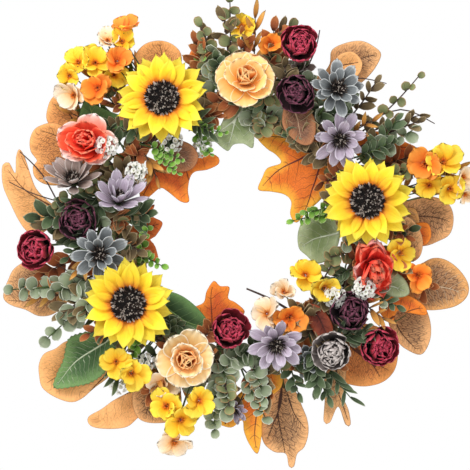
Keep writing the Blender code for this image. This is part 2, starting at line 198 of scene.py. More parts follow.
def geometry_tree(name, **sizes):
    """An empty geometry tree with the named inputs of each type, and its inputs' readings and its end."""
    tree = bpy.data.node_groups.new(name, "GeometryNodeTree")
    tree.interface.new_socket("Geometry", in_out="INPUT", socket_type="NodeSocketGeometry")
    tree.interface.new_socket("Geometry", in_out="OUTPUT", socket_type="NodeSocketGeometry")
    for kind, labels in sizes.items():
        for label in labels:
            tree.interface.new_socket(label, in_out="INPUT", socket_type="NodeSocket" + kind)
    outputs = tree.nodes.new("NodeGroupInput").outputs
    source = {socket.name: Reading(tree, socket) for socket in outputs if socket.name}
    return tree, source, tree.nodes.new("NodeGroupOutput")


def captured(tree, geometry, kind, value):
    """Keeps a reading on a curve while it is swept into a tube: the curve, and what it keeps."""
    node = tree.nodes.new("GeometryNodeCaptureAttribute")
    node.capture_items.new(kind, "Kept")
    geometry.to(node, 0)
    value.to(node, 1)
    return Reading(tree, node.outputs[0]), Reading(tree, node.outputs[1])


def grow(layers):
    """The plain mesh that geometry trees grow, each layer a tree and its named sizes."""
    bed = bpy.data.objects.new("bed", bpy.data.meshes.new("bed"))
    bpy.context.scene.collection.objects.link(bed)
    for tree, sizes in layers:
        step = bed.modifiers.new(tree.name, "NODES")
        step.node_group = tree
        for item in tree.interface.items_tree:
            if item.in_out == "INPUT" and item.name in sizes:
                value = sizes[item.name]
                step[item.identifier] = float(value) if item.socket_type == "NodeSocketFloat" else value
    graph = bpy.context.evaluated_depsgraph_get()
    mesh = bpy.data.meshes.new_from_object(bed.evaluated_get(graph))
    bpy.data.objects.remove(bed)
    return mesh


def piece(name, mesh, stands_for=(), body="wreath"):
    """A finished piece, in place, on its body."""
    obj = bpy.data.objects.new(name, mesh)
    bpy.context.scene.collection.objects.link(obj)
    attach(obj, body)
    if stands_for:
        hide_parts(*stands_for)
    return obj


def wound_tree():
    """A round strand wound over the ring's centre circle, closed for a cane and open for a wire."""
    floats = ("Ring Radius", "Offset", "Turns", "Phase", "Start", "Span", "Strand Radius", "Knots")
    tree, source, result = geometry_tree(
        "wound_strand", Int=["Points"], Bool=["Closed"], Float=floats, Material=["Finish"]
    )
    line = put(tree, "GeometryNodeCurvePrimitiveLine")
    line = put(tree, "GeometryNodeResampleCurve", {"Curve": line, "Count": source["Points"]})
    share = put(tree, "GeometryNodeInputIndex") / (source["Points"] - 1.0 + source["Closed"])
    clock = share * source["Span"] + source["Start"]
    turned = share * source["Turns"] * math.tau + source["Phase"]
    reach = turned.calc("COSINE") * source["Offset"] + source["Ring Radius"]
    forward = turned.calc("SINE") * source["Offset"] * -1.0
    place = vector(tree, reach * clock.calc("COSINE"), forward, reach * clock.calc("SINE"))
    line = put(tree, "GeometryNodeSetPosition", {"Geometry": line, "Position": place})
    line = put(tree, "GeometryNodeSetSplineCyclic", {"Geometry": line, "Cyclic": source["Closed"]})
    lumps = put(tree, "ShaderNodeTexNoise", {"Scale": 110.0, "Detail": 1.0}, "Fac")
    thick = ((lumps - 0.55) * source["Knots"] + 1.0) * source["Strand Radius"]
    line, along = captured(tree, line, "FLOAT", put(tree, "GeometryNodeSplineParameter", None, "Length"))
    rim = put(tree, "GeometryNodeCurvePrimitiveCircle", {"Resolution": 12, "Radius": 1.0})
    rim, around = captured(tree, rim, "VECTOR", put(tree, "GeometryNodeInputPosition"))
    sockets = {"Curve": line, "Profile Curve": rim, "Scale": thick, "Fill Caps": True}
    tube = put(tree, "GeometryNodeCurveToMesh", sockets)
    east, north, _ = split(tree, around)
    grain = vector(tree, along, east * source["Strand Radius"], north * source["Strand Radius"])
    sockets = {"Geometry": tube, "Name": "grain", "Value": grain}
    tube = put(tree, "GeometryNodeStoreNamedAttribute", sockets, data_type="FLOAT_VECTOR", domain="POINT")
    tube = put(tree, "GeometryNodeSetShadeSmooth", {"Geometry": tube})
    tube = put(tree, "GeometryNodeRealizeInstances", {"Geometry": tube})
    put(tree, "GeometryNodeSetMaterial", {"Geometry": tube, "Material": source["Finish"]}).to(result, 0)
    return tree


def wind(name, node, points, offset, turns, phase, gap, radius, knots, colour):
    """Winds a strand over the ring for a CAD node. A gap at the top leaves it open there."""
    sizes = {
        "Points": points,
        "Closed": gap == 0,
        "Ring Radius": ring_radius / 1000,
        "Offset": offset / 1000,
        "Turns": turns,
        "Phase": phase,
        "Start": math.pi / 2 + gap if gap else 0.0,
        "Span": math.tau - 2 * gap,
        "Strand Radius": radius / 1000,
        "Knots": knots,
        "Finish": colour,
    }
    mesh = grow([(wound, sizes)])
    mesh.transform(Matrix.Translation(ring_centre))
    piece(name, mesh, [node])


def bark_finish():
    """Dark grapevine bark: fibres along the cane, split down to paler wood."""
    made, tree, shader, _ = finish("grapevine_bark", 0.85)
    grain = put(tree, "ShaderNodeAttribute", None, "Vector", attribute_name="grain")
    drawn = put(tree, "ShaderNodeVectorMath", {0: grain, 1: (60, 900, 900)}, operation="MULTIPLY")
    fibres = speckle(tree, drawn, 1.0, 5.0, 0.65)
    patches = speckle(tree, grain, 45.0, 2.0)
    colour = ramp(tree, fibres, ((0.3, "1f1209"), (0.5, "4b2f18"), (0.62, "6f4a29"), (0.8, "a37c50")))
    faded = mixed(tree, patches, colour, dye("3a2415"), "MULTIPLY")
    mixed(tree, 0.55, colour, faded).to(shader, "Base Color")
    emboss(tree, shader, fibres, 0.0012)
    return made


wound = wound_tree()
bark = bark_finish()
for index in range(4):
    wind(
        f"grapevine_{index + 1}",
        f"cane_{index + 1}",
        points=260,
        offset=bundle_radius - cane_radius,
        turns=cane_twists,
        phase=math.tau * index / 4,
        gap=0,
        radius=cane_radius,
        knots=0.5,
        colour=bark,
    )


# --- Binding wire ------------------------------------------------------------------------------------------
# Florist's wire in a green plastic coat, wound round the canes over the stems' ends to hold them down. It
# starts and ends at the top, where it leaves the hanger room to swing.

wire_low, wire_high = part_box("binding_wire")
binding_radius = 0.8
binding_turns = 12
binding_gap = math.radians(7)


def flecked_finish(name, roughness, scale, detail, stops, relief=0.0, sheen=0.0):
    """A plain finish whose fine flecks run through the stops and stand up by the relief."""
    made, tree, shader, where = finish(name, roughness, sheen)
    flecks = speckle(tree, where, scale, detail)
    ramp(tree, flecks, stops).to(shader, "Base Color")
    if relief:
        emboss(tree, shader, flecks, relief)
    return made


wire_coat = flecked_finish("green_wire_coat", 0.5, 260.0, 3.0, ((0.35, "1e3314"), (0.65, "41602b")), 0.0002)
wind(
    "florists_wire",
    "binding_wire",
    points=420,
    offset=(wire_high.y - wire_low.y) / 2 * 1000 - binding_radius,
    turns=binding_turns,
    phase=0.0,
    gap=binding_gap,
    radius=binding_radius,
    knots=0.0,
    colour=wire_coat,
)


# --- Hanger ------------------------------------------------------------------------------------------------
# A loop of plain steel wire: a collar that turns round the canes at the top, its two ends twisted into a
# neck, and an eye for the door's hook.


def steel_finish():
    """Drawn steel wire with die marks along it."""
    made, tree, shader, where = finish("drawn_steel", 0.35, metallic=1.0)
    marks = speckle(tree, where, 700.0, 2.0)
    ramp(tree, marks, ((0.3, "7d7f82"), (0.7, "b9bbbd"))).to(shader, "Base Color")
    (marks * 0.25 + 0.25).to(shader, "Roughness")
    emboss(tree, shader, marks, 0.0001)
    return made


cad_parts["hanger_loop"].data.materials[0] = steel_finish()


# --- Stems and calyxes -------------------------------------------------------------------------------------
# Each head is pushed on a moulded green stem with a wire core: matt, with darker flecks and fine ribs. Its
# calyx seats the petals.

stem_stops = ((0.3, "22300f"), (0.55, "3c5420"), (0.8, "5c7330"))
stem_green = flecked_finish("moulded_stem", 0.6, 320.0, 4.0, stem_stops, 0.0004)
for name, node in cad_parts.items():
    if name.endswith("_stem"):
        node.data.materials[0] = stem_green


# --- Sunflowers --------------------------------------------------------------------------------------------
# Two die-cut rows of stiffened yellow polyester petals, heat-pressed with a crease and a pinched tip, round a
# moulded head of dark flocked seeds. Green sepals show behind.


def pattern(mesh):
    """An object that a geometry tree can copy, which is taken away once the heads are made."""
    obj = bpy.data.objects.new("pattern", mesh)
    bpy.context.scene.collection.objects.link(obj)
    patterns.append(obj)
    return obj


def petal(length, width, belly, point, cup=0.0, curl=0.0, crease=0.0, ruffle=0.0, waves=3, rows=9, columns=7):
    """A pattern for a petal, with its root at the origin, its tip towards +X and its face up. The outline
    swells with the powers belly and point, cup lifts its edges, curl its tip, crease folds it and ruffle
    waves its rim."""
    along = (1 - (1 - np.linspace(0, 1, rows)) ** 1.5)[:, None]
    across = np.linspace(-1, 1, columns)[None, :]
    outline = (along + 0.05) ** belly * (1.0005 - along) ** point
    half = np.maximum(width / 2 * outline / outline.max(), 0.02 * width)
    x = length * along * (1 - 0.06 * across**2 * along)
    y = across * half
    z = cup * half * across**2 + curl * length * along**2 + crease * half * np.abs(across)
    z = z + ruffle * length * along**2 * np.sin(waves * math.pi * across + 1.0)
    points = np.stack([x, y, z], -1).reshape(-1, 3) / 1000
    corners = [r * columns + c for r in range(rows - 1) for c in range(columns - 1)]
    mesh = bpy.data.meshes.new("petal")
    mesh.from_pydata(points.tolist(), [], [(i, i + columns, i + columns + 1, i + 1) for i in corners])
    sheet = mesh.uv_layers.new(name="sheet")
    for loop in mesh.loops:
        row, column = divmod(loop.vertex_index, columns)
        sheet.data[loop.index].uv = (column / (columns - 1), float(along[row, 0]))
    mesh.shade_smooth()
    return pattern(mesh)


def chance(tree, low, high, seed=0):
    """A random number for each point."""
    sockets = {2: low, 3: high, "ID": put(tree, "GeometryNodeInputIndex"), "Seed": seed}
    return put(tree, "FunctionNodeRandomValue", sockets, 1, data_type="FLOAT")


def on_circle(tree, reach, angle, rise):
    """A place at a reach and an angle round +Z, and this high."""
    return vector(tree, reach * angle.calc("COSINE"), reach * angle.calc("SINE"), rise)


def scattered(tree, count, place, shape, turned, size, tone, colour):
    """Real copies of a shape, one at each place, each with its own tone where one is given."""
    points = put(tree, "GeometryNodePoints", {"Count": count, "Position": place})
    shape = put(tree, "GeometryNodeObjectInfo", {"Object": shape}, "Geometry")
    sockets = {"Points": points, "Instance": shape, "Rotation": turned, "Scale": size}
    copies = put(tree, "GeometryNodeInstanceOnPoints", sockets)
    if tone:
        sockets = {"Geometry": copies, "Name": "tone", "Value": tone}
        copies = put(tree, "GeometryNodeStoreNamedAttribute", sockets, data_type="FLOAT", domain="INSTANCE")
    real = put(tree, "GeometryNodeRealizeInstances", {"Geometry": copies})
    return put(tree, "GeometryNodeSetMaterial", {"Geometry": real, "Material": colour})


def joined(tree, result, *parts):
    """Ends a tree with its parts in one mesh."""
    node = tree.nodes.new("GeometryNodeJoinGeometry")
    for part in parts:
        part.to(node, 0)
    Reading(tree, node.outputs[0]).to(result, 0)
    return tree


def whorl_tree():
    """A row of petals round a head's axis, which is +Z, over whatever rows are there already."""
    floats = ("Radius", "Height", "Lift", "Turn", "Uneven", "Tone")
    tree, source, result = geometry_tree(
        "whorl", Object=["Petal"], Int=["Count", "Seed"], Float=floats, Material=["Finish"]
    )
    uneven = source["Uneven"]
    seed = source["Seed"]
    angle = put(tree, "GeometryNodeInputIndex") / source["Count"] * math.tau + source["Turn"]
    swing = chance(tree, -0.30, 0.30, seed + 1) * uneven + angle
    place = on_circle(tree, source["Radius"], swing, source["Height"])
    tilt = chance(tree, -0.5, 0.5, seed + 2) * uneven + source["Lift"]
    turned = vector(tree, chance(tree, -0.7, 0.7, seed + 3) * uneven, tilt * -1.0, swing)
    size = chance(tree, -0.3, 0.25, seed + 4) * uneven + 1.0
    tone = chance(tree, -0.15, 0.15, seed + 5) + source["Tone"]
    row = scattered(tree, source["Count"], place, source["Petal"], turned, size, tone, source["Finish"])
    return joined(tree, result, source["Geometry"], row)


def row_of(sheet, count, radius, height, lift, turn, uneven, tone, seed, colour):
    """One layer for grow: a row of petals. Lift and turn are in degrees."""
    sizes = {"Petal": sheet, "Count": count, "Radius": radius / 1000, "Height": height / 1000, "Seed": seed}
    angles = {"Lift": math.radians(lift), "Turn": math.radians(turn)}
    return whorl, {**sizes, **angles, "Uneven": uneven, "Tone": tone, "Finish": colour}


def shaded(tree, colour, level):
    """A colour made darker or paler by a level."""
    grey = put(tree, "ShaderNodeCombineColor", {0: level, 1: level, 2: level})
    return mixed(tree, 1.0, colour, grey, "MULTIPLY")


def cloth_finish(name, stops, streak=0.25, rib=30.0, rim=None, rim_width=0.2):
    """Petal cloth, dyed from root to tip through the stops: streaked and ribbed along its length, with each
    petal a little darker or paler than the next, and a rim of another colour where one is given."""
    made, tree, shader, where = finish(name, 0.7, 0.06)
    across, along, _ = split(tree, put(tree, "ShaderNodeUVMap", uv_map="sheet"))
    tone = put(tree, "ShaderNodeAttribute", None, "Fac", attribute_name="tone")
    blotch = speckle(tree, where, 120.0, 2.0)
    colour = ramp(tree, along + (blotch - 0.5) * 0.25, stops)
    streaks = speckle(tree, vector(tree, across * rib, along * 2.5, tone * 40.0), 1.0, 3.0)
    colour = shaded(tree, colour, (streaks - 0.55) * (2.0 * streak) + tone + 1.0)
    # Rim: a painted highlight on daisies and wine and dusty roses; on sprig leaves, their own edge colour.
    if rim:
        edge = (across * 2.0 - 1.0).calc("ABSOLUTE").calc("MAXIMUM", along)
        share = ((edge - (1 - rim_width)) / rim_width).clamped()
        colour = mixed(tree, share, colour, dye(rim))
    colour.to(shader, "Base Color")
    weave = speckle(tree, where, 1400.0, 1.0)
    emboss(tree, shader, weave * 0.25 + streaks, 0.0006)
    return made


def head_place(node):
    """A head's matrix and reach, from the petals' dish in the frame: its axis is the dish's flattest way."""
    corners = np.array([v.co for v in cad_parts[node].data.vertices])
    middle = corners.mean(0)
    _, _, ways = np.linalg.svd(corners - middle)
    look = ways[2] if ways[2][1] < 0 else -ways[2]
    heights = (corners - middle) @ look
    reach = float(np.linalg.norm((corners - middle) - np.outer(heights, look), axis=1).max())
    turn = Vector(look).to_track_quat("Z", "Y").to_matrix().to_4x4()
    return Matrix.Translation(Vector(middle) + float(heights.min()) * Vector(look)) @ turn, 1000 * reach


def walled(obj, thickness):
    """Gives a sheet its cloth's thickness."""
    wall = obj.modifiers.new("cloth", "SOLIDIFY")
    wall.thickness = thickness / 1000
    wall.offset = 0


def cloth_head(name, place, layers, stands_for=(), thickness=0.3):
    """A flower's petals, grown row by row and set in place on the wreath."""
    mesh = grow(layers)
    mesh.transform(place)
    walled(piece(name + "_cloth", mesh, stands_for), thickness)


def seed_head_tree():
    """Seeds set along a spiral on a low dome, taller towards its rim."""
    tree, source, result = geometry_tree(
        "seed_head", Object=["Seed Shape"], Int=["Count"], Float=["Radius", "Dome"], Material=["Finish"]
    )
    index = put(tree, "GeometryNodeInputIndex")
    far = ((index + 0.5) / source["Count"]).calc("SQRT")
    angle = index * golden_turn
    bulge = (far * (math.pi / 2)).calc("COSINE")
    place = on_circle(tree, far * source["Radius"], angle, (bulge * 0.5 + 0.5) * source["Dome"])
    lean = vector(tree, 0.0, (far - 0.45) * 1.1, angle)
    shape, size, tone = source["Seed Shape"], far * 0.55 + 0.7, chance(tree, 0.0, 1.0)
    pegs = scattered(tree, source["Count"], place, shape, lean, size, tone, source["Finish"])
    return joined(tree, result, source["Geometry"], pegs)


def seed_bed(shape, count, radius, dome):
    """A dome of flocked seeds on the origin."""
    sizes = {"Radius": radius / 1000, "Dome": dome / 1000}
    return grow([(seeds, {**sizes, "Seed Shape": shape, "Count": count, "Finish": seed_brown})])


def seed_finish():
    """Flocked seeds: near-black brown, some tipped with pale pollen."""
    made, tree, shader, where = finish("flocked_seeds", 0.95)
    tone = put(tree, "ShaderNodeAttribute", None, "Fac", attribute_name="tone")
    dust = speckle(tree, where, 900.0, 2.0)
    stops = ((0.3, "080403"), (0.56, "1d0f0a"), (0.70, "4a342b"), (0.78, "d8ccc0"))
    ramp(tree, dust * 0.5 + tone * 0.6, stops).to(shader, "Base Color")
    emboss(tree, shader, dust, 0.0003)
    return made


def spike(radius, height):
    """A pattern for a small pointed peg that stands on its base."""
    sizes = {"radius1": radius / 1000, "radius2": 0.35 * radius / 1000, "depth": height / 1000}
    bpy.ops.mesh.primitive_cone_add(vertices=5, **sizes)
    made = bpy.context.object
    mesh = made.data
    bpy.data.objects.remove(made)
    mesh.transform(Matrix.Translation((0, 0, height / 2000)))
    return pattern(mesh)


patterns = []
golden_turn = math.radians(137.508)
whorl = whorl_tree()
seeds = seed_head_tree()
seed_brown = seed_finish()
seed_peg = spike(0.85, 2.6)
yellow_stops = ((0.0, "963c08"), (0.20, "e07c08"), (0.36, "f8bf12"), (0.6, "fbdb20"), (1.0, "fbe94c"))
sunflower_yellow = cloth_finish("sunflower_yellow", yellow_stops, 0.14, 12.0)
sepal_green = cloth_finish("sepal_green", ((0.0, "2b3f16"), (0.6, "4a6a28"), (1.0, "6f8a45")), rib=18.0)
for number in (1, 2, 3):
    name = f"sunflower_{number}"
    place, reach = head_place(name + "_petals")
    disc_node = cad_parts[name + "_disc"]
    disc_low, disc_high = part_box(name + "_disc")
    disc = (disc_high.z - disc_low.z) / 2 * 1000
    crown = 1000 * max((place.inverted() @ v.co).z for v in disc_node.data.vertices) - 0.2
    long = reach - 0.72 * disc
    front = petal(long, 16.8, 0.85, 0.95, 0.15, 0.08, 0.35, 0.015)
    back = petal(1.05 * long, 17.8, 0.85, 0.9, 0.1, -0.02, 0.3)
    sepal = petal(0.5 * reach, 10.0, 0.5, 0.7, 0.2, -0.25)
    layers = [
        row_of(back, 14, 0.68 * disc, -1.0, 2, 13, 0.30, -0.12, number, sunflower_yellow),
        row_of(front, 14, 0.72 * disc, 1.2, 13, 0, 0.40, 0.02, number + 10, sunflower_yellow),
        row_of(sepal, 9, 0.45 * disc, -3.6, 2, 7, 0.3, 0.0, number + 20, sepal_green),
    ]
    cloth_head(name, place, layers, [name + "_petals"], 0.4)
    pegs = seed_bed(seed_peg, 380, disc, crown)
    pegs.transform(place)
    piece(name + "_seed_pegs", pegs)
    disc_node.data.materials[0] = seed_brown


# --- Daisies -----------------------------------------------------------------------------------------------
# Two rows of rounded polyester petals with pressed ribs and a painted highlight along their rims, threaded on
# the stem. Dark bristles and a few seeds cover the stem's button.


def posed(clock, out, depth, turn, lift, spin=0.0):
    """Places a head whose own +Z is the way it looks: turned to the right, lifted up, and spun round."""
    look = Vector((math.tan(math.radians(turn)), -1, math.tan(math.radians(lift)))).normalized()
    turned = look.to_track_quat("Z", "Y").to_matrix().to_4x4()
    return Matrix.Translation(polar(clock, out, depth)) @ turned @ Matrix.Rotation(math.radians(spin), 4, "Z")


def eased(a, b, c, d, share):
    """A point between b and c on the smooth curve through a, b, c and d."""
    bent = (2 * a - 5 * b + 4 * c - d) * share * share + (3 * b - a - 3 * c + d) * share**3
    return 0.5 * (2 * b + (c - a) * share + bent)


def rod(points, thick, thin, colour, sides=6):
    """A round rod through the points, thick at the first and thin at the last, with its ends closed."""
    ends = [points[0], *points, points[-1]]
    fours = zip(ends, ends[1:], ends[2:], ends[3:])
    path = [eased(*four, share) for four in fours for share in (0, 0.25, 0.5, 0.75)]
    path.append(points[-1])
    curve = bpy.data.curves.new("rod", "CURVE")
    curve.dimensions = "3D"
    curve.bevel_depth = 1
    curve.bevel_resolution = max(0, sides // 2 - 2)
    curve.use_fill_caps = True
    spline = curve.splines.new("POLY")
    spline.points.add(len(path) - 1)
    for index, (point, place) in enumerate(zip(spline.points, path)):
        point.co = (*place, 1)
        point.radius = (thick + (thin - thick) * index / (len(path) - 1)) / 1000
    made = bpy.data.objects.new("rod", curve)
    bpy.context.scene.collection.objects.link(made)
    graph = bpy.context.evaluated_depsgraph_get()
    mesh = bpy.data.meshes.new_from_object(made.evaluated_get(graph))
    bpy.data.objects.remove(made)
    mesh.shade_smooth()
    mesh.materials.append(colour)
    return mesh


def stalk(place, clock, back=12, thick=1.1):
    """Adds a stalk from the bound canes at a clock angle to the back of a head."""
    behind = place @ Vector((0, 0, -back / 1000))
    root = polar(clock, 0, bundle_radius + 3.5)
    halfway = (root + behind) / 2 + Vector((0, -0.006, 0))
    stalks.append(rod([root, halfway, behind, place.translation], 1.2 * thick, thick, stem_green))


def gathered(meshes):
    """One mesh from several, each with its own finishes."""
    finishes = []
    shape = bmesh.new()
    for mesh in meshes:
        finishes += [made for made in mesh.materials if made not in finishes]
        order = [finishes.index(made) for made in mesh.materials]
        first = len(shape.faces)
        shape.from_mesh(mesh)
        shape.faces.ensure_lookup_table()
        for face in shape.faces[first:]:
            face.material_index = order[face.material_index]
    whole = bpy.data.meshes.new("gathered")
    shape.to_mesh(whole)
    shape.free()
    for made in finishes:
        whole.materials.append(made)
    return whole


def on_axis(*heights):
    """Points on a head's own axis."""
    return [Vector((0, 0, height / 1000)) for height in heights]


stalks = []
slate_stops = ((0.0, "1c1d1d"), (0.3, "484c4e"), (0.7, "767b7d"), (1.0, "94999b"))
mauve_stops = ((0.0, "54454f"), (0.3, "9b8a9a"), (0.7, "c0b1c3"), (1.0, "d6cbd9"))
taupe_stops = ((0.0, "44342f"), (0.4, "8d7970"), (0.8, "b39f96"), (1.0, "ab9aa0"))
# The pale rim dyes of these daisy cloths are painted highlights along the petals' edges.
slate_cloth = cloth_finish("slate_cloth", slate_stops, 0.5, 11.0, "e2e6e6", 0.18)
mauve_cloth = cloth_finish("mauve_cloth", mauve_stops, 0.38, 12.0, "e6e0ea", 0.14)
taupe_cloth = cloth_finish("taupe_cloth", taupe_stops, 0.35, 14.0, "e0d5ce", 0.16)
bristle_brown = cloth_finish("bristle_brown", ((0.0, "120b08"), (0.6, "2e1f18"), (1.0, "7d6a55")), rib=4.0)
bristle = petal(9.5, 1.2, 0.3, 0.5, curl=0.2, rows=5, columns=3)
small_peg = spike(0.7, 2.2)
# Cloth, slot, clock angle of the stem's root, lift of the outer and inner petals, nod
daisy_forms = (
    (slate_cloth, "grey_petal", 54, 14, 38, 0),
    (mauve_cloth, "mauve_petal", 41, 10, 34, 4),
    (mauve_cloth, "mauve_petal", 167, 36, 58, 16),
    (slate_cloth, "grey_petal", 190, 14, 40, 4),
    (mauve_cloth, "mauve_petal", 290, 16, 36, -6),
    (taupe_cloth, "dusty_petal", 164, 26, 50, 2),
)
for number, (colour, slot, clock, low_lift, high_lift, nod) in enumerate(daisy_forms, 1):
    name = f"daisy_{number}"
    place, reach = head_place(name + "_petals")
    place = place @ Matrix.Rotation(math.radians(-nod), 4, "X")
    reach = 1.12 * reach if number in (3, 6) else reach
    outer = petal(reach - 1, 10.8, 0.9, 0.45, 0.4, 0.06, -0.2, 0.03)
    inner = petal(0.82 * reach, 9.2, 0.9, 0.45, 0.5, 0.12, -0.2, 0.03)
    layers = [
        row_of(outer, 9, 4.0, 1.5, low_lift, 7 * number, 0.42, -0.06, number + 30, colour),
        row_of(inner, 8, 3.0, 3.2, high_lift, 7 * number + 24, 0.42, 0.04, number + 40, colour),
    ]
    cloth_head(name, place, layers, [name + "_petals"])
    fringe = grow(
        [
            row_of(bristle, 26, 4.6, 5.8, 44, 0, 0.5, 0.0, number + 50, bristle_brown),
            row_of(bristle, 18, 3.6, 7.2, 66, 9, 0.5, 0.1, number + 60, bristle_brown),
        ]
    )
    button = seed_bed(small_peg, 70, 5.6, 4.0)
    button.transform(Matrix.Translation((0, 0, 0.0076)))
    heart = gathered([fringe, button, rod(on_axis(4.0, 8.0, 10.8), 5.2, 1.8, seed_brown, 12)])
    heart.transform(place)
    piece(name + "_heart", heart, [name + "_stem"])
    stalks.append(rod([place @ point for point in on_axis(-5, -2, 1)], 1.6, 4.5, stem_green, 10))
    stalk(place, clock, 10, 1.2)

side_flowers = (
    ("slate_side_flower", slate_cloth, "grey_petal", 300, 20, 20, 8, -10, 19, 24),
    ("mauve_side_flower", mauve_cloth, "mauve_petal", 270, 50, 22, 0, -14, 12, 30),
    ("taupe_side_flower", taupe_cloth, "dusty_petal", 68, 44, 14, 0, 10, 17, 34),
)
for index, (name, colour, slot, clock, out, depth, turn, nod, long, lift) in enumerate(side_flowers):
    shape = petal(long, 0.42 * long, 0.8, 0.5, 0.4, 0.1, -0.2, 0.03)
    layers = [
        row_of(shape, 9, 2, 0, lift, 0, 0.5, -0.1, index + 160, colour),
        row_of(shape, 7, 1, 1, lift + 25, 20, 0.5, 0.0, index + 170, colour),
        row_of(bristle, 12, 1, 2, 68, 0, 0.5, 0.0, index + 180, bristle_brown),
    ]
    place = posed(clock, out, depth, turn, nod)
    cloth_head(name, place, layers)
    stalk(place, clock, 8, 0.8)


# --- Cream roses -------------------------------------------------------------------------------------------
# Full-blown roses of wired polyester: broad scalloped outer petals, airbrushed from cream to apricot at the
# heart, where a short bunch of bristles is glued.

cream_stops = ((0.0, "e8943a"), (0.35, "f7bd68"), (0.7, "fbd592"), (1.0, "fde7bb"))
honey_stops = ((0.0, "ea8e30"), (0.35, "fbb552"), (0.7, "fdcb78"), (1.0, "fddb98"))
apricot_stops = ((0.0, "a94a12"), (0.35, "ec8c36"), (0.7, "f8ad58"), (1.0, "fcc987"))
cream_cloth = cloth_finish("cream_cloth", cream_stops, 0.05, 9.0, "fef3dc", 0.10)
honey_cloth = cloth_finish("honey_cloth", honey_stops, 0.05, 9.0, "feedc8", 0.08)
apricot_cloth = cloth_finish("apricot_cloth", apricot_stops, 0.06, 9.0)
cream_forms = ((16, 7, honey_cloth, 0.035), (26, 6, cream_cloth, 0.06))
for number, (open_lift, count, colour, frill) in enumerate(cream_forms, 1):
    name = f"cream_rose_{number}"
    place, reach = head_place(name + "_petals")
    wide = petal(reach - 1, 27.0, 0.55, 0.22, 0.22, -0.02, 0.0, frill, 4.0, 11, 13)
    middle = petal(22.0, 22.5, 0.5, 0.22, 0.35, 0.05, 0.0, frill, 3.0, 9, 11)
    wrap = petal(16.5, 18.0, 0.45, 0.25, 0.5, 0.25, 0.0, 0.03, 3.0, 8, 9)
    layers = [
        row_of(wide, count, 3.0, 3.0, open_lift, 11, 0.22, -0.02, number + 70, colour),
        row_of(middle, 5, 3.0, 5.0, open_lift + 22, 40, 0.22, 0.02, number + 74, colour),
        row_of(wrap, 5, 3.5, 7.0, 56, 0, 0.2, 0.03, number + 78, apricot_cloth),
        row_of(wrap, 4, 2.2, 8.0, 74, 33, 0.2, -0.04, number + 82, apricot_cloth),
        row_of(wrap, 3, 0.8, 6.6, 84, 10, 0.2, 0.04, number + 84, apricot_cloth),
        row_of(bristle, 9, 0.8, 12.0, 70, 0, 0.6, 0.1, number + 86, bristle_brown),
    ]
    cloth_head(name, place, layers, [name + "_petals"], 0.4)


# --- Wine and dusty roses ----------------------------------------------------------------------------------
# Ranunculus-like balls of crumpled petals, gathered on the stem and glued over one another. The rims
# carry a painted highlight and the petals' roots a painted shade. Some heads are dyed nearly black and
# one is a dusty grey.

# The first, near-black stop of each is painted shade at the petals' roots, deep in the ball.
crimson_stops = ((0.0, "1e0208"), (0.5, "520315"), (0.85, "86061e"), (1.0, "9e0b28"))
maroon_stops = ((0.0, "080104"), (0.5, "17030a"), (0.85, "2e0714"), (1.0, "430c20"))
dusty_stops = ((0.0, "1e1a19"), (0.5, "514946"), (0.85, "877c78"), (1.0, "9c908d"))
# The pale rim dyes of these three cloths are painted highlights along the petals' edges.
crimson_cloth = cloth_finish("crimson_cloth", crimson_stops, 0.22, 7.0, "cc3f5e", 0.04)
maroon_cloth = cloth_finish("maroon_cloth", maroon_stops, 0.22, 7.0, "7e3c56", 0.035)
dusty_cloth = cloth_finish("dusty_cloth", dusty_stops, 0.22, 8.0, "cfc6c1", 0.08)
# Name, clock angle, out, depth, turn, lift, cloth
ball_forms = (
    ("wine_rose_1", 71, 60, 22, 4, 12, crimson_cloth),
    ("wine_rose_2", 66, 25, 24, -6, -12, maroon_cloth),
    ("wine_rose_3", 177, 26, 14, -4, 6, maroon_cloth),
    ("wine_rose_4", 185, 62, 20, -16, -6, crimson_cloth),
    ("wine_rose_5", 265, -24, 22, 12, 8, crimson_cloth),
    ("wine_rose_6", 323, 13, 20, 6, 10, maroon_cloth),
    ("wine_rose_7", 321, 48, 24, 16, -12, crimson_cloth),
    ("dusty_rose", 311, 25, 26, -12, -16, dusty_cloth),
)
ball_outer = petal(27.0, 23.0, 0.5, 0.2, 0.35, 0.42, 0.0, 0.035, 4.0, 10, 11)
ball_middle = petal(26.0, 19.0, 0.5, 0.2, 0.45, 0.30, 0.0, 0.040, 4.0, 10, 11)
ball_inner = petal(24.5, 15.0, 0.5, 0.2, 0.55, 0.18, 0.0, 0.045, 3.0, 9, 9)
# Petal, how many, radius, height, lift, turn, unevenness, tone
ball_rows = (
    (ball_outer, 6, 2.0, 0, 32, 0, 0.22, -0.05),
    (ball_outer, 5, 2.0, 1, 48, 30, 0.22, 0.0),
    (ball_middle, 5, 2.0, 2, 58, 10, 0.22, 0.05),
    (ball_middle, 5, 1.5, 2, 70, 44, 0.22, 0.0),
    (ball_inner, 4, 1.0, 3, 78, 20, 0.25, 0.05),
    (ball_inner, 3, 0.4, 3, 87, 50, 0.25, -0.05),
)
for index, (name, clock, out, depth, turn, lift, colour) in enumerate(ball_forms):
    place = posed(clock, out, depth, turn, lift, 47 * index)
    layers = [row_of(*form, index + 90 + 9 * row, colour) for row, form in enumerate(ball_rows)]
    layers.append(row_of(bristle, 8, 3, -2, 20, 0, 0.4, 0.0, index + 144, sepal_green))
    slot = "dusty_petal" if name == "dusty_rose" else "wine_petal"
    cloth_head(name, place, layers, [name])
    stalk(place, clock)


# --- Coral rose and bud ------------------------------------------------------------------------------------
# The rose is dyed wet, so its heart is red, its middle orange and its outer petals a washed pink. The bud is
# the same cloth, frilled, and hangs down.

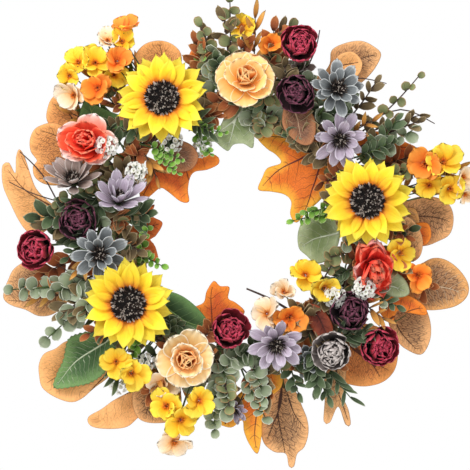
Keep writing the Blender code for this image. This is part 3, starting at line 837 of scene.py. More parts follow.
heart_stops = ((0.0, "b8120c"), (0.5, "ea2a1a"), (0.85, "f94a32"), (1.0, "fb7054"))
middle_stops = ((0.0, "c81e10"), (0.5, "f34426"), (0.85, "fb6440"), (1.0, "fd8e6c"))
wash_stops = ((0.0, "ea4422"), (0.4, "fa7c58"), (0.75, "fcbca6"), (1.0, "fff0e9"))
blush_stops = ((0.0, "d8281c"), (0.4, "f5463a"), (0.75, "f9786c"), (1.0, "fcb8b0"))
coral_heart = cloth_finish("coral_heart", heart_stops, 0.08, 8.0)
coral_middle = cloth_finish("coral_middle", middle_stops, 0.08, 8.0)
coral_wash = cloth_finish("coral_wash", wash_stops, 0.06, 8.0)
coral_blush = cloth_finish("coral_blush", blush_stops, 0.10, 8.0)
wash = petal(30.0, 26.0, 0.6, 0.3, 0.25, 0.05, 0.1, 0.04, 3.0, 10, 11)
blaze = petal(29.0, 24.0, 0.6, 0.3, 0.3, 0.15, 0.12, 0.04, 3.0, 10, 11)
glow = petal(27.0, 20.0, 0.6, 0.3, 0.4, 0.18, 0.1, 0.04, 3.0, 9, 9)
ember = petal(25.0, 16.0, 0.55, 0.3, 0.5, 0.15, 0.1, 0.04, 3.0, 9, 9)
long_frill = petal(28.0, 21.0, 0.7, 0.5, 0.2, 0.1, 0.2, 0.07, 4.0, 12, 11)
short_frill = petal(25.0, 17.0, 0.7, 0.5, 0.35, 0.12, 0.2, 0.08, 4.0, 10, 9)
layers = [
    row_of(wash, 5, 2, 0, 24, 150, 0.3, 0.0, 3, coral_wash),
    row_of(blaze, 5, 2, 2, 40, 20, 0.3, 0.0, 4, coral_middle),
    row_of(glow, 5, 2, 3, 58, 50, 0.25, 0.0, 5, coral_middle),
    row_of(ember, 5, 1, 4, 72, 10, 0.25, 0.0, 6, coral_heart),
    row_of(ember, 3, 0.5, 5, 84, 70, 0.25, -0.05, 7, coral_heart),
]
place = posed(149, 36, 32, -16, 8) @ Matrix.Diagonal((1.18, 0.92, 1, 1))
cloth_head("coral_rose", place, layers, ["coral_rose"])
stalk(place, 149)

layers = [
    row_of(long_frill, 4, 2, 0, 16, 160, 0.6, 0.0, 12, coral_blush),
    row_of(long_frill, 6, 2, 0, 26, 0, 0.5, 0.0, 13, coral_middle),
    row_of(long_frill, 7, 2, 2, 40, 25, 0.5, 0.05, 14, coral_heart),
    row_of(short_frill, 6, 2, 3, 56, 10, 0.5, 0.05, 15, coral_heart),
    row_of(short_frill, 5, 1, 4, 72, 50, 0.4, 0.0, 16, coral_middle),
    row_of(short_frill, 3, 0, 5, 84, 20, 0.4, 0.0, 17, coral_heart),
]
place = posed(346, 12, 26, 14, -30, 14) @ Matrix.Diagonal((0.88, 1.42, 1, 1))
cloth_head("coral_bud", place, layers, ["coral_bud"])
stalk(place, 345)


# --- Broad leaves ------------------------------------------------------------------------------------------
# Polyester leaves cut hot, pressed between moulds so the veins stand up, and printed with a dark net of
# veins. Each has a wire stalk glued along its back, and its stalk is bound to the canes.

rim_step = 0.0022
vein_step = 0.0025
leaf_grid = 0.0026


def leaf_finish(name, middle, edge, line, net, spacing, reach, vein=None, ink=0.5, gap=2.2):
    """Printed leaf cloth: the middle's colour fades to the edge's within reach of the rim. Over it lie main
    and side veins, a net drawn out along the side veins, and the dark line of the hot cut."""
    made, tree, shader, where = finish(name, 0.75, 0.04)
    span, run, ahead, inland = (
        put(tree, "ShaderNodeAttribute", None, "Fac", attribute_name=label)
        for label in ("vein", "run", "ahead", "inland")
    )
    blotch = speckle(tree, where, 70.0, 4.0) - 0.5
    outward = blotch * 1.1 + 1.0 - inland / (reach / 1000)
    colour = ramp(tree, outward, ((0.05, middle), (0.85, edge)))
    dust = speckle(tree, where, 500.0, 3.0)
    colour = shaded(tree, colour, dust * 0.35 + 0.82)
    slanted = run - span * 0.8 + blotch * 0.0030
    side = (1.0 - (slanted / (spacing / 1000)).calc("PINGPONG", 0.5) / 0.055).clamped()
    side = side * (1.0 - span / 0.028).clamped() * (inland * 250.0).clamped()
    main = (1.25 - span / ((1.2 - ahead) * 0.0011)).clamped()
    drawn = vector(tree, slanted / (gap / 1000), span / (gap / 500), 0.0)
    sockets = {"Vector": drawn, "Scale": 1.0}
    settings = {"feature": "DISTANCE_TO_EDGE", "voronoi_dimensions": "2D"}
    cells = put(tree, "ShaderNodeTexVoronoi", sockets, "Distance", **settings)
    netted = (1.0 - cells / 0.15).clamped() * (1.15 - outward).clamped() * net
    veins = main.calc("MAXIMUM", side * ink)
    cut = (1.0 - inland / 0.0006).clamped() * 0.7
    colour = mixed(tree, netted, colour, dye(line))
    colour = mixed(tree, veins, colour, dye(vein or line))
    mixed(tree, cut, colour, dye(line)).to(shader, "Base Color")
    emboss(tree, shader, veins + dust * 0.2, 0.0008, 0.8)
    return made


def leaf_rim(corners, teeth):
    """A closed smooth rim through an outline's corners, toothed where asked."""
    total = len(corners)
    rim = []
    for i in range(total):
        four = [corners[(i + k) % total] for k in (-1, 0, 1, 2)]
        steps = max(2, int(np.linalg.norm(four[2] - four[1]) / rim_step))
        rim += [eased(*four, share) for share in np.arange(steps) / steps]
    rim = np.array(rim)
    if teeth:
        middle = rim.mean(0)
        swing = np.where(np.arange(len(rim)) % 2 == 0, 1.0, -1.0)[:, None]
        rim = rim + swing * teeth * (rim - middle) / np.linalg.norm(rim - middle, axis=1)[:, None]
    return rim


def leaf_veins(corners, tips):
    """A gently waved line of points from the root to each numbered tip."""
    veins = []
    for tip in tips:
        end = corners[tip]
        t = np.arange(0.04, 0.94, vein_step / max(np.linalg.norm(end), 0.01))[:, None]
        sideways = np.array([-end[1], end[0]])
        wave = 0.07 * t * (1 - t) * 4 * (-1) ** tip + 0.010 * np.sin(10 * t + tip)
        veins.append(end * t + sideways * wave)
    return veins


def leaf_spots(rim, lines):
    """Points spread inside the rim, clear of it and of the veins' lines."""
    low_corner = rim.min(0)
    high_corner = rim.max(0)
    xs = np.arange(low_corner[0], high_corner[0], leaf_grid)
    zs = np.arange(low_corner[1], high_corner[1], leaf_grid)
    clear = leaf_grid / 2
    spots = np.array([(x + clear * (k % 2), z) for k, z in enumerate(zs) for x in xs])
    nearest_rim = np.linalg.norm(spots[:, None] - rim[None], axis=2).min(1)
    after = np.roll(rim, -1, axis=0)
    crosses = (rim[None, :, 1] > spots[:, None, 1]) != (after[None, :, 1] > spots[:, None, 1])
    rise = after[:, 1] - rim[:, 1]
    rise[rise == 0] = 1e-9
    climbed = (spots[:, None, 1] - rim[None, :, 1]) / rise[None]
    where = rim[None, :, 0] + climbed * (after - rim)[None, :, 0]
    inside = (crosses & (where > spots[:, None, 0])).sum(1) % 2 == 1
    spots = spots[inside & (nearest_rim > clear)]
    return spots[np.linalg.norm(spots[:, None] - lines[None], axis=2).min(1) > clear]


def blade(clock, out, depth, tips, outline, colour, lean, bow, teeth):
    """A leaf cut to an outline in millimetres from its root, with veins to the outline's numbered tips. It
    leans forward by lean at its tip, and bow bends it across."""
    corners = np.array([(0, 0), *outline], float) / 1000
    rim = leaf_rim(corners, teeth / 1000)
    veins = leaf_veins(corners, tips)
    lines = np.concatenate(veins)
    flat = [Vector(p) for p in (*rim, *lines, *leaf_spots(rim, lines))]
    border = [(i, (i + 1) % len(rim)) for i in range(len(rim))]
    corners_out, _, faces, *_ = delaunay_2d_cdt(flat, border, [], 1, 1e-5)
    points = np.array([tuple(p) for p in corners_out])
    apart = np.linalg.norm(points[:, None] - lines[None], axis=2)
    vein_gap = apart.min(1)
    lengths = [np.linalg.norm(line, axis=1) for line in veins]
    runs = np.concatenate(lengths)[apart.argmin(1)]
    ahead = np.concatenate([length / length[-1] for length in lengths])[apart.argmin(1)]
    inland = np.linalg.norm(points[:, None] - rim[None], axis=2).min(1)
    share = np.linalg.norm(points, axis=1) / np.linalg.norm(corners, axis=1).max()
    ripple = 0.0012 * np.sin(points[:, 0] * 170 + 3 * clock) * np.sin(points[:, 1] * 150) * share
    crease = 0.0010 * np.exp(-vein_gap / 0.002)
    forward = (depth + lean * share**1.3) / 1000 + bow * vein_gap - crease + ripple
    origin = polar(clock, out, 0)
    mesh = bpy.data.meshes.new("blade")
    solid = [(origin.x + p[0], origin.y - f, origin.z + p[1]) for p, f in zip(points, forward)]
    mesh.from_pydata(solid, [], faces)
    for label, values in (("vein", vein_gap), ("run", runs), ("ahead", ahead), ("inland", inland)):
        layer = mesh.attributes.new(label, "FLOAT", "POINT")
        layer.data.foreach_set("value", values.astype(np.float32))
    mesh.update()
    if sum(polygon.normal.y for polygon in mesh.polygons) > 0:
        mesh.flip_normals()
    mesh.shade_smooth()
    mesh.materials.append(colour)
    return mesh


# Slot, then the middle's, the edge's and the lines' dyes, strength of the net, spacing of the side veins,
# reach of the edge's colour, the veins' own dye, their strength, and the width of the net's mesh
leaf_dyes = {
    "orange_tan_leaf": ("tan_leaf", "cf8848", "f8b068", "4a2212", 0.9, 10, 16),
    "plain_tan_leaf": ("tan_leaf", "e3a05a", "fab874", "5b2c16", 0.6, 10, 20),
    "netted_tan_leaf": ("tan_leaf", "b98a5e", "f0b478", "3e2115", 1.0, 8, 13, None, 0.7, 2.4),
    "pale_vein_tan_leaf": ("tan_leaf", "b08258", "e4a662", "45281a", 1.0, 8, 11, "f0d8b6", 0.9, 2.4),
    "amber_tan_leaf": ("tan_leaf", "cc7a3a", "f2a054", "5a2814", 0.8, 10, 14),
    "brown_leaf": ("tan_leaf", "825840", "b0744a", "341d14", 0.8, 7, 10, "cfa988", 0.6, 2.0),
    "maple_gold": ("maple_leaf", "e8741a", "fbb134", "5b2320", 0.3, 11, 12, "4a1a26", 0.7),
    "maple_orange": ("maple_leaf", "d65c18", "f98c26", "5b2320", 0.35, 11, 10, "70301c", 0.7),
    "maple_rust": ("maple_leaf", "a53c10", "e2702a", "4a1d14", 0.4, 10, 10, "4a1d14", 0.7),
    "block_rust": ("maple_leaf", "6e2614", "9c4422", "2e0f0a", 0.5, 9, 8, "3c130c", 0.6),
    "sage_leaf": ("sage_leaf", "70804f", "a6b188", "5b6a42", 0.4, 9, 14, "d3dac2", 0.6),
    "serrated_green": ("green_leaf", "3d5f30", "74985a", "26401f", 0.75, 6, 16, "dbe6c6", 1.0, 2.0),
    "deep_green": ("green_leaf", "34502a", "5f8448", "29431b", 0.4, 9, 12, "8bab62"),
}
leaf_cloths = {name: leaf_finish(name, *dyes) for name, (_, *dyes) in leaf_dyes.items()}
# Name, cloth, clock angle and out of the root, depth, lean, bow, corners that veins run to, and the outline
# from the root
broad_leaves = (
    ("tan_leaf_1", "orange_tan_leaf", 148, 42, 0, 4, 0.15, (6,), (
        (-18, 6), (-34, 9), (-42, 19), (-41, 31), (-37, 40), (-30, 45), (-23, 43), (-21, 35), (-11, 29),
        (-3, 22), (5, 10)
    )),
    ("tan_leaf_2", "orange_tan_leaf", 154, 15, 5, 4, 0.1, (9, 4), (
        (-23, -10), (-42, -17), (-58, -17), (-69, -10), (-71, 1), (-67, 6), (-73, 15), (-74, 26),
        (-70, 36), (-62, 41), (-52, 43), (-42, 40), (-31, 34), (-10, 19)
    )),
    ("tan_leaf_3", "plain_tan_leaf", 175, 39, 3, 3, 0.1, (8, 12), (
        (-18, -13), (-29, -19), (-39, -16), (-47, -6), (-55, 10), (-62, 26), (-64, 39), (-63, 49),
        (-57, 51), (-51, 41), (-50, 57), (-47, 64), (-42, 57), (-36, 39), (-30, 25), (-18, 13)
    )),
    ("tan_leaf_4", "netted_tan_leaf", 200, 36, 0, 4, 0.12, (6,), (
        (-13, -16), (-26, -27), (-40, -29), (-53, -23), (-66, -19), (-74, -13), (-74, -4), (-70, 6),
        (-65, 16), (-55, 23), (-44, 24), (-29, 19), (-13, 13)
    )),
    ("tan_leaf_5", "plain_tan_leaf", 226, 39, 0, 4, 0.1, (7, 4), (
        (-2, -13), (-10, -26), (-23, -36), (-36, -47), (-47, -50), (-62, -45), (-74, -36), (-77, -24),
        (-77, -13), (-72, -3), (-61, 2), (-51, 9), (-33, 13), (-14, 13)
    )),
    ("tan_leaf_6", "netted_tan_leaf", 288, 26, 1, 4, 0.12, (7, 4, 11), (
        (-13, -19), (-19, -39), (-21, -52), (-18, -65), (-8, -73), (3, -75), (6, -87), (11, -87),
        (14, -75), (21, -68), (25, -55), (24, -42), (19, -29), (12, -13)
    )),
    ("tan_leaf_7", "amber_tan_leaf", 315, 19, 0, 3, 0.1, (6, 7), (
        (-5, -19), (-4, -36), (-1, -44), (10, -49), (26, -51), (42, -47), (53, -37), (57, -23),
        (55, -10), (42, 5), (19, 10)
    )),
    ("tan_leaf_8", "netted_tan_leaf", 338, 32, -4, 2, 0.1, (5,), (
        (3, -19), (6, -36), (15, -52), (26, -60), (36, -63), (42, -57), (46, -44), (45, -29), (39, -16),
        (23, -3)
    )),
    ("tan_leaf_9", "pale_vein_tan_leaf", 341, 37, 3, 4, 0.12, (6,), (
        (15, -11), (24, -19), (32, -25), (47, -25), (63, -21), (73, -12), (74, 0), (66, 13), (53, 23),
        (40, 25), (28, 19), (15, 10)
    )),
    ("tan_leaf_10", "netted_tan_leaf", 5, 17, -3, 3, 0.1, (6,), (
        (15, -17), (27, -26), (44, -28), (58, -23), (68, -17), (72, -6), (71, 6), (65, 15), (52, 20),
        (39, 20), (19, 13)
    )),
    ("tan_leaf_11", "netted_tan_leaf", 60, 44, 0, 3, 0.12, (6,), (
        (8, 16), (10, 29), (23, 36), (39, 38), (52, 32), (58, 25), (53, 13), (44, 2), (32, -7), (16, -10)
    )),
    ("maple_leaf_1", "maple_gold", 43, -11, 6, 4, -0.08, (11, 6, 17), (
        (10, -9), (14, -20), (11, -31), (2, -46), (-12, -59), (-23, -70), (-29, -62), (-28, -50),
        (-34, -43), (-47, -40), (-60, -38), (-56, -26), (-51, -17), (-38, -12), (-43, -4), (-52, 2),
        (-61, 13), (-51, 19), (-34, 15), (-17, 8)
    )),
    ("maple_leaf_2", "maple_rust", 192, -2, 6, 4, -0.08, (4, 6, 10), (
        (10, 16), (19, 29), (30, 42), (41, 50), (39, 39), (49, 32), (42, 19), (37, 16), (42, 9), (45, -7),
        (34, -2), (27, -10), (16, -10)
    )),
    ("maple_leaf_3", "maple_orange", 261, -12, 4, 3, -0.08, (6, 3, 11), (
        (-10, 14), (-14, 23), (-23, 34), (-13, 40), (-10, 51), (-3, 61), (3, 56), (12, 55), (11, 44),
        (18, 40), (27, 31), (19, 23), (12, 14)
    )),
    ("maple_leaf_4", "maple_gold", 283, 13, 14, 3, -0.08, (9, 4), (
        (-14, -12), (-29, -27), (-47, -39), (-51, -51), (-35, -58), (-24, -51), (-22, -62), (-17, -74),
        (-9, -83), (-5, -66), (-4, -49), (2, -31), (14, -19), (14, -6)
    )),
    ("maple_leaf_left", "maple_orange", 125, -27, 10, 4, -0.08, (2, 8, 13), (
        (17, -4), (37, -7), (40, -15), (29, -21), (17, -23), (12, -29), (10, -41), (11, -52), (3, -52),
        (-10, -42), (-17, -39), (-27, -47), (-35, -51), (-37, -33), (-27, -17)
    )),
    ("maple_leaf_right", "maple_orange", 329, 48, 14, 6, -0.08, (6,), (
        (-8, 10), (-5, 21), (8, 29), (21, 25), (31, 19), (37, 13), (37, 6), (21, 8), (10, 10), (6, 0)
    )),
    ("finger_leaf", "plain_tan_leaf", 243, 46, -2, 3, 0.1, (5,), (
        (-16, -2), (-31, -9), (-42, -15), (-53, -23), (-65, -30), (-65, -37), (-58, -41), (-42, -42),
        (-28, -40), (-19, -33), (-6, -19)
    )),
    ("finger_leaf_back", "netted_tan_leaf", 247, 31, 4, 2, 0.1, (5,), (
        (-19, 0), (-36, -8), (-39, -23), (-36, -36), (-29, -43), (-16, -45), (0, -42), (6, -29), (8, -13)
    )),
    ("fork_leaf", "netted_tan_leaf", 308, 35, 12, 4, 0.15, (3, 7), (
        (-11, -16), (-11, -39), (-12, -60), (-6, -61), (2, -46), (9, -63), (14, -63), (12, -49),
        (7, -36), (9, -23), (9, -6)
    )),
    ("top_leaf", "orange_tan_leaf", 118, 33, 4, 3, 0.1, (5,), (
        (-15, 13), (-23, 24), (-22, 33), (-13, 42), (0, 45), (12, 42), (21, 33), (21, 20), (13, 6)
    )),
    ("brown_leaf_left", "brown_leaf", 130, -10, 24, 4, 0.1, (4,), (
        (-6, -14), (3, -24), (16, -31), (31, -29), (38, -17), (32, -6), (19, 0), (10, 3)
    )),
    ("brown_leaf_top", "brown_leaf", 68, 12, 26, 6, 0.1, (4,), (
        (-5, -13), (-5, -26), (2, -36), (13, -44), (23, -43), (27, -30), (25, -17), (15, -3)
    )),
    ("coral_side_leaf", "pale_vein_tan_leaf", 7, 41, 10, 4, 0.1, (4,), (
        (-10, -13), (-11, -26), (-6, -36), (3, -44), (12, -30), (15, -13), (11, 0)
    )),
    ("petal_leaf", "plain_tan_leaf", 59, 55, 10, 4, 0.2, (4,), (
        (3, 9), (10, 17), (22, 19), (31, 9), (27, -4), (14, -8)
    )),
    ("right_leaf_back", "maple_orange", 34, 15, 6, 4, 0.05, (4, 6), (
        (10, 16), (29, 17), (49, 8), (62, 0), (56, -16), (47, -31), (32, -26), (13, -13)
    )),
    ("sage_leaf", "sage_leaf", 84, 3, 17, 3, 0.1, (4, 7, 10), (
        (-21, -6), (-24, -18), (-31, -31), (-44, -42), (-33, -41), (-28, -45), (-20, -50), (-15, -44),
        (-5, -43), (4, -47), (6, -32), (12, -23), (10, -6)
    )),
    ("sage_leaf_right", "sage_leaf", 358, -22, 12, 4, 0.1, (5,), (
        (-4, -16), (-11, -25), (-23, -29), (-33, -21), (-40, -14), (-41, 0), (-36, 13), (-23, 23),
        (-5, 19)
    )),
    ("green_leaf", "serrated_green", 222, 30, 9, 4, 0.12, (5,), (
        (-2, -15), (-8, -31), (-23, -44), (-42, -49), (-61, -50), (-58, -36), (-52, -23), (-49, -8),
        (-44, 0), (-26, 5), (-10, 6)
    )),
    ("green_leaf_inner", "deep_green", 222, -22, 12, 6, 0.1, (5,), (
        (10, 8), (23, 5), (37, -5), (48, -18), (51, -28), (39, -31), (24, -30), (6, -23)
    )),
    ("coral_leaf_upper", "deep_green", 143, 39, 16, 6, 0.1, (4,), (
        (-12, 0), (-20, 9), (-18, 21), (-12, 28), (-3, 22), (10, 16), (23, 10), (19, 0)
    )),
    ("narrow_tan_leaf", "netted_tan_leaf", 350, 51, 20, 4, 0.1, (4,), (
        (7, 6), (9, 20), (4, 34), (-6, 43), (-13, 34), (-13, 18), (-7, 4)
    )),
    ("rust_strip_leaf", "block_rust", 314, -25, 26, 6, 0.1, (4,), (
        (12, -2), (20, -10), (26, -24), (21, -34), (12, -34), (4, -22), (-2, -8)
    )),
    ("sage_leaf_coral", "sage_leaf", 339, 25, 24, 2, 0.1, (4,), (
        (6, 8), (16, 12), (26, 4), (29, -8), (18, -12), (6, -8)
    )),
    ("orange_leaf_top", "maple_orange", 105, 35, 16, 4, 0.1, (3,), (
        (-4, 12), (2, 24), (12, 29), (20, 24), (20, 10), (12, 0)
    )),
    ("orange_leaf_coral", "maple_orange", 2, 51, 14, 4, 0.1, (3,), (
        (-6, -8), (-2, -18), (9, -21), (15, -12), (12, 0)
    )),
    ("sage_leaf_left", "sage_leaf", 152, 47, 14, 6, 0.1, (3,), (
        (-11, 2), (-19, 8), (-20, 16), (-11, 18), (-2, 13), (6, 5)
    )),
)
for name, cloth, clock, out, depth, lean, bow, tips, outline in broad_leaves:
    teeth = 0.6 if name == "green_leaf" else 0.0
    mesh = blade(clock, out, depth, tips, outline, leaf_cloths[cloth], lean, bow, teeth)
    stands_for = [name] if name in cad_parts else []
    walled(piece(name + "_cloth", mesh, stands_for), 0.3)
    tip_x, tip_z = outline[tips[0] - 1]
    start = polar(clock, out, depth - 1.1)
    base = polar(clock, 0 if out > -20 else -4, -4 if depth < 8 else bundle_radius + 3)
    halfway = start + Vector((tip_x * 0.5, -(0.5**1.3) * lean + 0.3, tip_z * 0.5)) / 1000
    stalks.append(rod([base, start, halfway], 0.9, 0.4, stem_green))


# --- Sprigs ------------------------------------------------------------------------------------------------
# Moulded and cut sprays on thin wire stems: round eucalyptus leaves in dusty and olive green, small bright
# green leaves, and dark narrow leaves that fill in between the flowers and hide the canes.


def sprig_tree():
    """A bent stem along +X with pairs of leaves up it and one at its tip."""
    floats = ("Length", "Bend", "Sway", "Size", "Spread", "Lift", "First", "Shrink", "Stem Radius")
    finishes = ("Leaf Finish", "Stem Finish")
    tree, source, result = geometry_tree(
        "sprig", Object=["Leaf"], Int=["Pairs", "Seed"], Float=floats, Material=finishes
    )
    length = source["Length"]
    seed = source["Seed"]

    def along_stem(share):
        square = share * share
        sideways = square * (length * source["Sway"])
        return vector(tree, share * length, sideways, square * (length * source["Bend"]))

    index = put(tree, "GeometryNodeInputIndex")
    doubled = source["Pairs"] * 2.0
    step = (index * 0.5).calc("FLOOR")
    odd = index - step * 2.0
    last = index.calc("GREATER_THAN", doubled - 0.5)
    climbed = (odd * 0.25 + step) / source["Pairs"]
    share = climbed * (1.0 - source["First"]) + source["First"]
    spread = (odd * -2.0 + 1.0) * source["Spread"] * (1.0 - last)
    heading = (share * 2.0 * source["Sway"]).calc("ARCTANGENT")
    roll = chance(tree, -0.7, 0.7, seed + 1)
    pitch = chance(tree, -0.35, 0.35, seed + 2) - source["Lift"]
    turned = vector(tree, roll, pitch, spread + heading + chance(tree, -0.3, 0.3, seed + 3))
    size = (1.0 - share * source["Shrink"]) * source["Size"] * chance(tree, 0.75, 1.15, seed + 4)
    tone = chance(tree, -0.2, 0.15, seed + 5)
    place = along_stem(share)
    leaves = scattered(tree, doubled + 1.0, place, source["Leaf"], turned, size, tone, source["Leaf Finish"])
    line = put(tree, "GeometryNodeCurvePrimitiveLine")
    line = put(tree, "GeometryNodeResampleCurve", {"Curve": line, "Count": 9})
    climb = put(tree, "GeometryNodeInputIndex") / 8.0
    line = put(tree, "GeometryNodeSetPosition", {"Geometry": line, "Position": along_stem(climb)})
    rim = put(tree, "GeometryNodeCurvePrimitiveCircle", {"Resolution": 5, "Radius": 1.0})
    thin = (1.0 - climb * 0.5) * source["Stem Radius"]
    sockets = {"Curve": line, "Profile Curve": rim, "Scale": thin, "Fill Caps": True}
    stem = put(tree, "GeometryNodeCurveToMesh", sockets)
    stem = put(tree, "GeometryNodeSetShadeSmooth", {"Geometry": stem})
    stem = put(tree, "GeometryNodeSetMaterial", {"Geometry": stem, "Material": source["Stem Finish"]})
    return joined(tree, result, source["Geometry"], leaves, stem)


def laid(clock, out, depth, aim, tilt):
    """Places a sprig whose own +X points along the aim, an angle like a clock's, tilted to the front."""
    turned = Matrix.Rotation(math.radians(90), 4, "X") @ Matrix.Rotation(math.radians(aim), 4, "Z")
    tilted = turned @ Matrix.Rotation(math.radians(-tilt), 4, "Y")
    return Matrix.Translation(polar(clock, out, depth)) @ tilted


def add_sprig(kind, clock, out, depth, aim, length, pairs, tilt, size, sway, bend, seed):
    """One sprig, from a place on the ring towards an aim."""
    leaf, scale, spread, colour, stem, _, radius = sprig_kinds[kind]
    sizes = {
        "Leaf": leaf,
        "Pairs": pairs,
        "Length": length / 1000,
        "Bend": bend,
        "Sway": sway,
        "Size": scale * size,
        "Spread": math.radians(spread),
        "Lift": 0.25,
        "First": 0.3,
        "Shrink": 0.3,
        "Stem Radius": radius / 1000,
        "Seed": seed,
        "Leaf Finish": colour,
        "Stem Finish": stem,
    }
    mesh = grow([(sprig, sizes)])
    mesh.transform(laid(clock, out, depth, aim, tilt))
    sprays[kind].append(mesh)


sprig = sprig_tree()
twig_stops = ((0.3, "23150f"), (0.6, "47302a"), (0.8, "7c6459"))
twig_brown = flecked_finish("twig_flock", 0.9, 300.0, 4.0, twig_stops, 0.0003, 0.2)
sprig_dyes = {
    "dusty_round": (((0.0, "5f6c4e"), (0.5, "8b9878"), (1.0, "aab39a")), 0.15, 9.0, "d6dcc8", 0.12),
    "olive_round": (((0.0, "56613a"), (0.5, "7d8455"), (1.0, "9c9a6c")), 0.15, 9.0, "b98a5c", 0.12),
    "bright_leaf": (((0.0, "4b7f22"), (0.5, "7bb03e"), (1.0, "a4cc66")), 0.12, 8.0, "cbe3a0", 0.10),
    "dark_leaf": (((0.0, "2b3a20"), (0.5, "465a38"), (1.0, "6f7f5c")), 0.18, 8.0, "98a486", 0.10),
    "rust_leaf": (((0.0, "6b3217"), (0.5, "a4572a"), (1.0, "c97f45")), 0.18, 8.0, "dba36c", 0.08),
    "ochre_leaf": (((0.0, "8f5a20"), (0.5, "d2943f"), (1.0, "efc172")), 0.2, 8.0, "8a5a34", 0.06),
    "bronze_round": (((0.0, "4a3a24"), (0.5, "6f5c3c"), (1.0, "938058")), 0.2, 9.0, "b9a27c", 0.08),
}
sprig_cloths = {name: cloth_finish(name, *dyes) for name, dyes in sprig_dyes.items()}
round_leaf = petal(16.0, 15.0, 0.45, 0.35, 0.2, 0.1, 0.1, 0.01, 2.0, 7, 7)
oval_leaf = petal(18.0, 9.0, 0.6, 0.55, 0.2, 0.1, 0.15, 0.02, 2.0, 6, 5)
narrow_leaf = petal(28.0, 7.0, 0.6, 0.7, 0.2, 0.15, 0.25, 0.02, 2.0, 7, 5)
tiny_leaf = petal(8.5, 6.2, 0.5, 0.45, 0.3, 0.2, 0.15, 0.0, 2.0, 5, 5)
# Leaf, its scale, its spread in degrees, its cloth, the stem's finish, slot, the stem's radius
sprig_kinds = {
    "dusty": (round_leaf, 1.0, 60, sprig_cloths["dusty_round"], stem_green, "sage_leaf", 0.9),
    "olive": (round_leaf, 0.9, 62, sprig_cloths["olive_round"], twig_brown, "sage_leaf", 0.9),
    "bright": (tiny_leaf, 1.0, 55, sprig_cloths["bright_leaf"], stem_green, "green_leaf", 0.8),
    "dark": (oval_leaf, 1.0, 45, sprig_cloths["dark_leaf"], stem_green, "green_leaf", 0.9),
    "spear": (narrow_leaf, 1.0, 35, sprig_cloths["dark_leaf"], stem_green, "green_leaf", 0.9),
    "rust": (oval_leaf, 1.1, 45, sprig_cloths["rust_leaf"], twig_brown, "maple_leaf", 0.8),
    "ochre": (narrow_leaf, 0.95, 35, sprig_cloths["ochre_leaf"], twig_brown, "tan_leaf", 0.8),
    "bronze": (oval_leaf, 1.35, 50, sprig_cloths["bronze_round"], twig_brown, "tan_leaf", 0.9),
    "grass": (narrow_leaf, 0.8, 25, sepal_green, stem_green, "green_leaf", 0.9),
}
sprays = {kind: [] for kind in sprig_kinds}
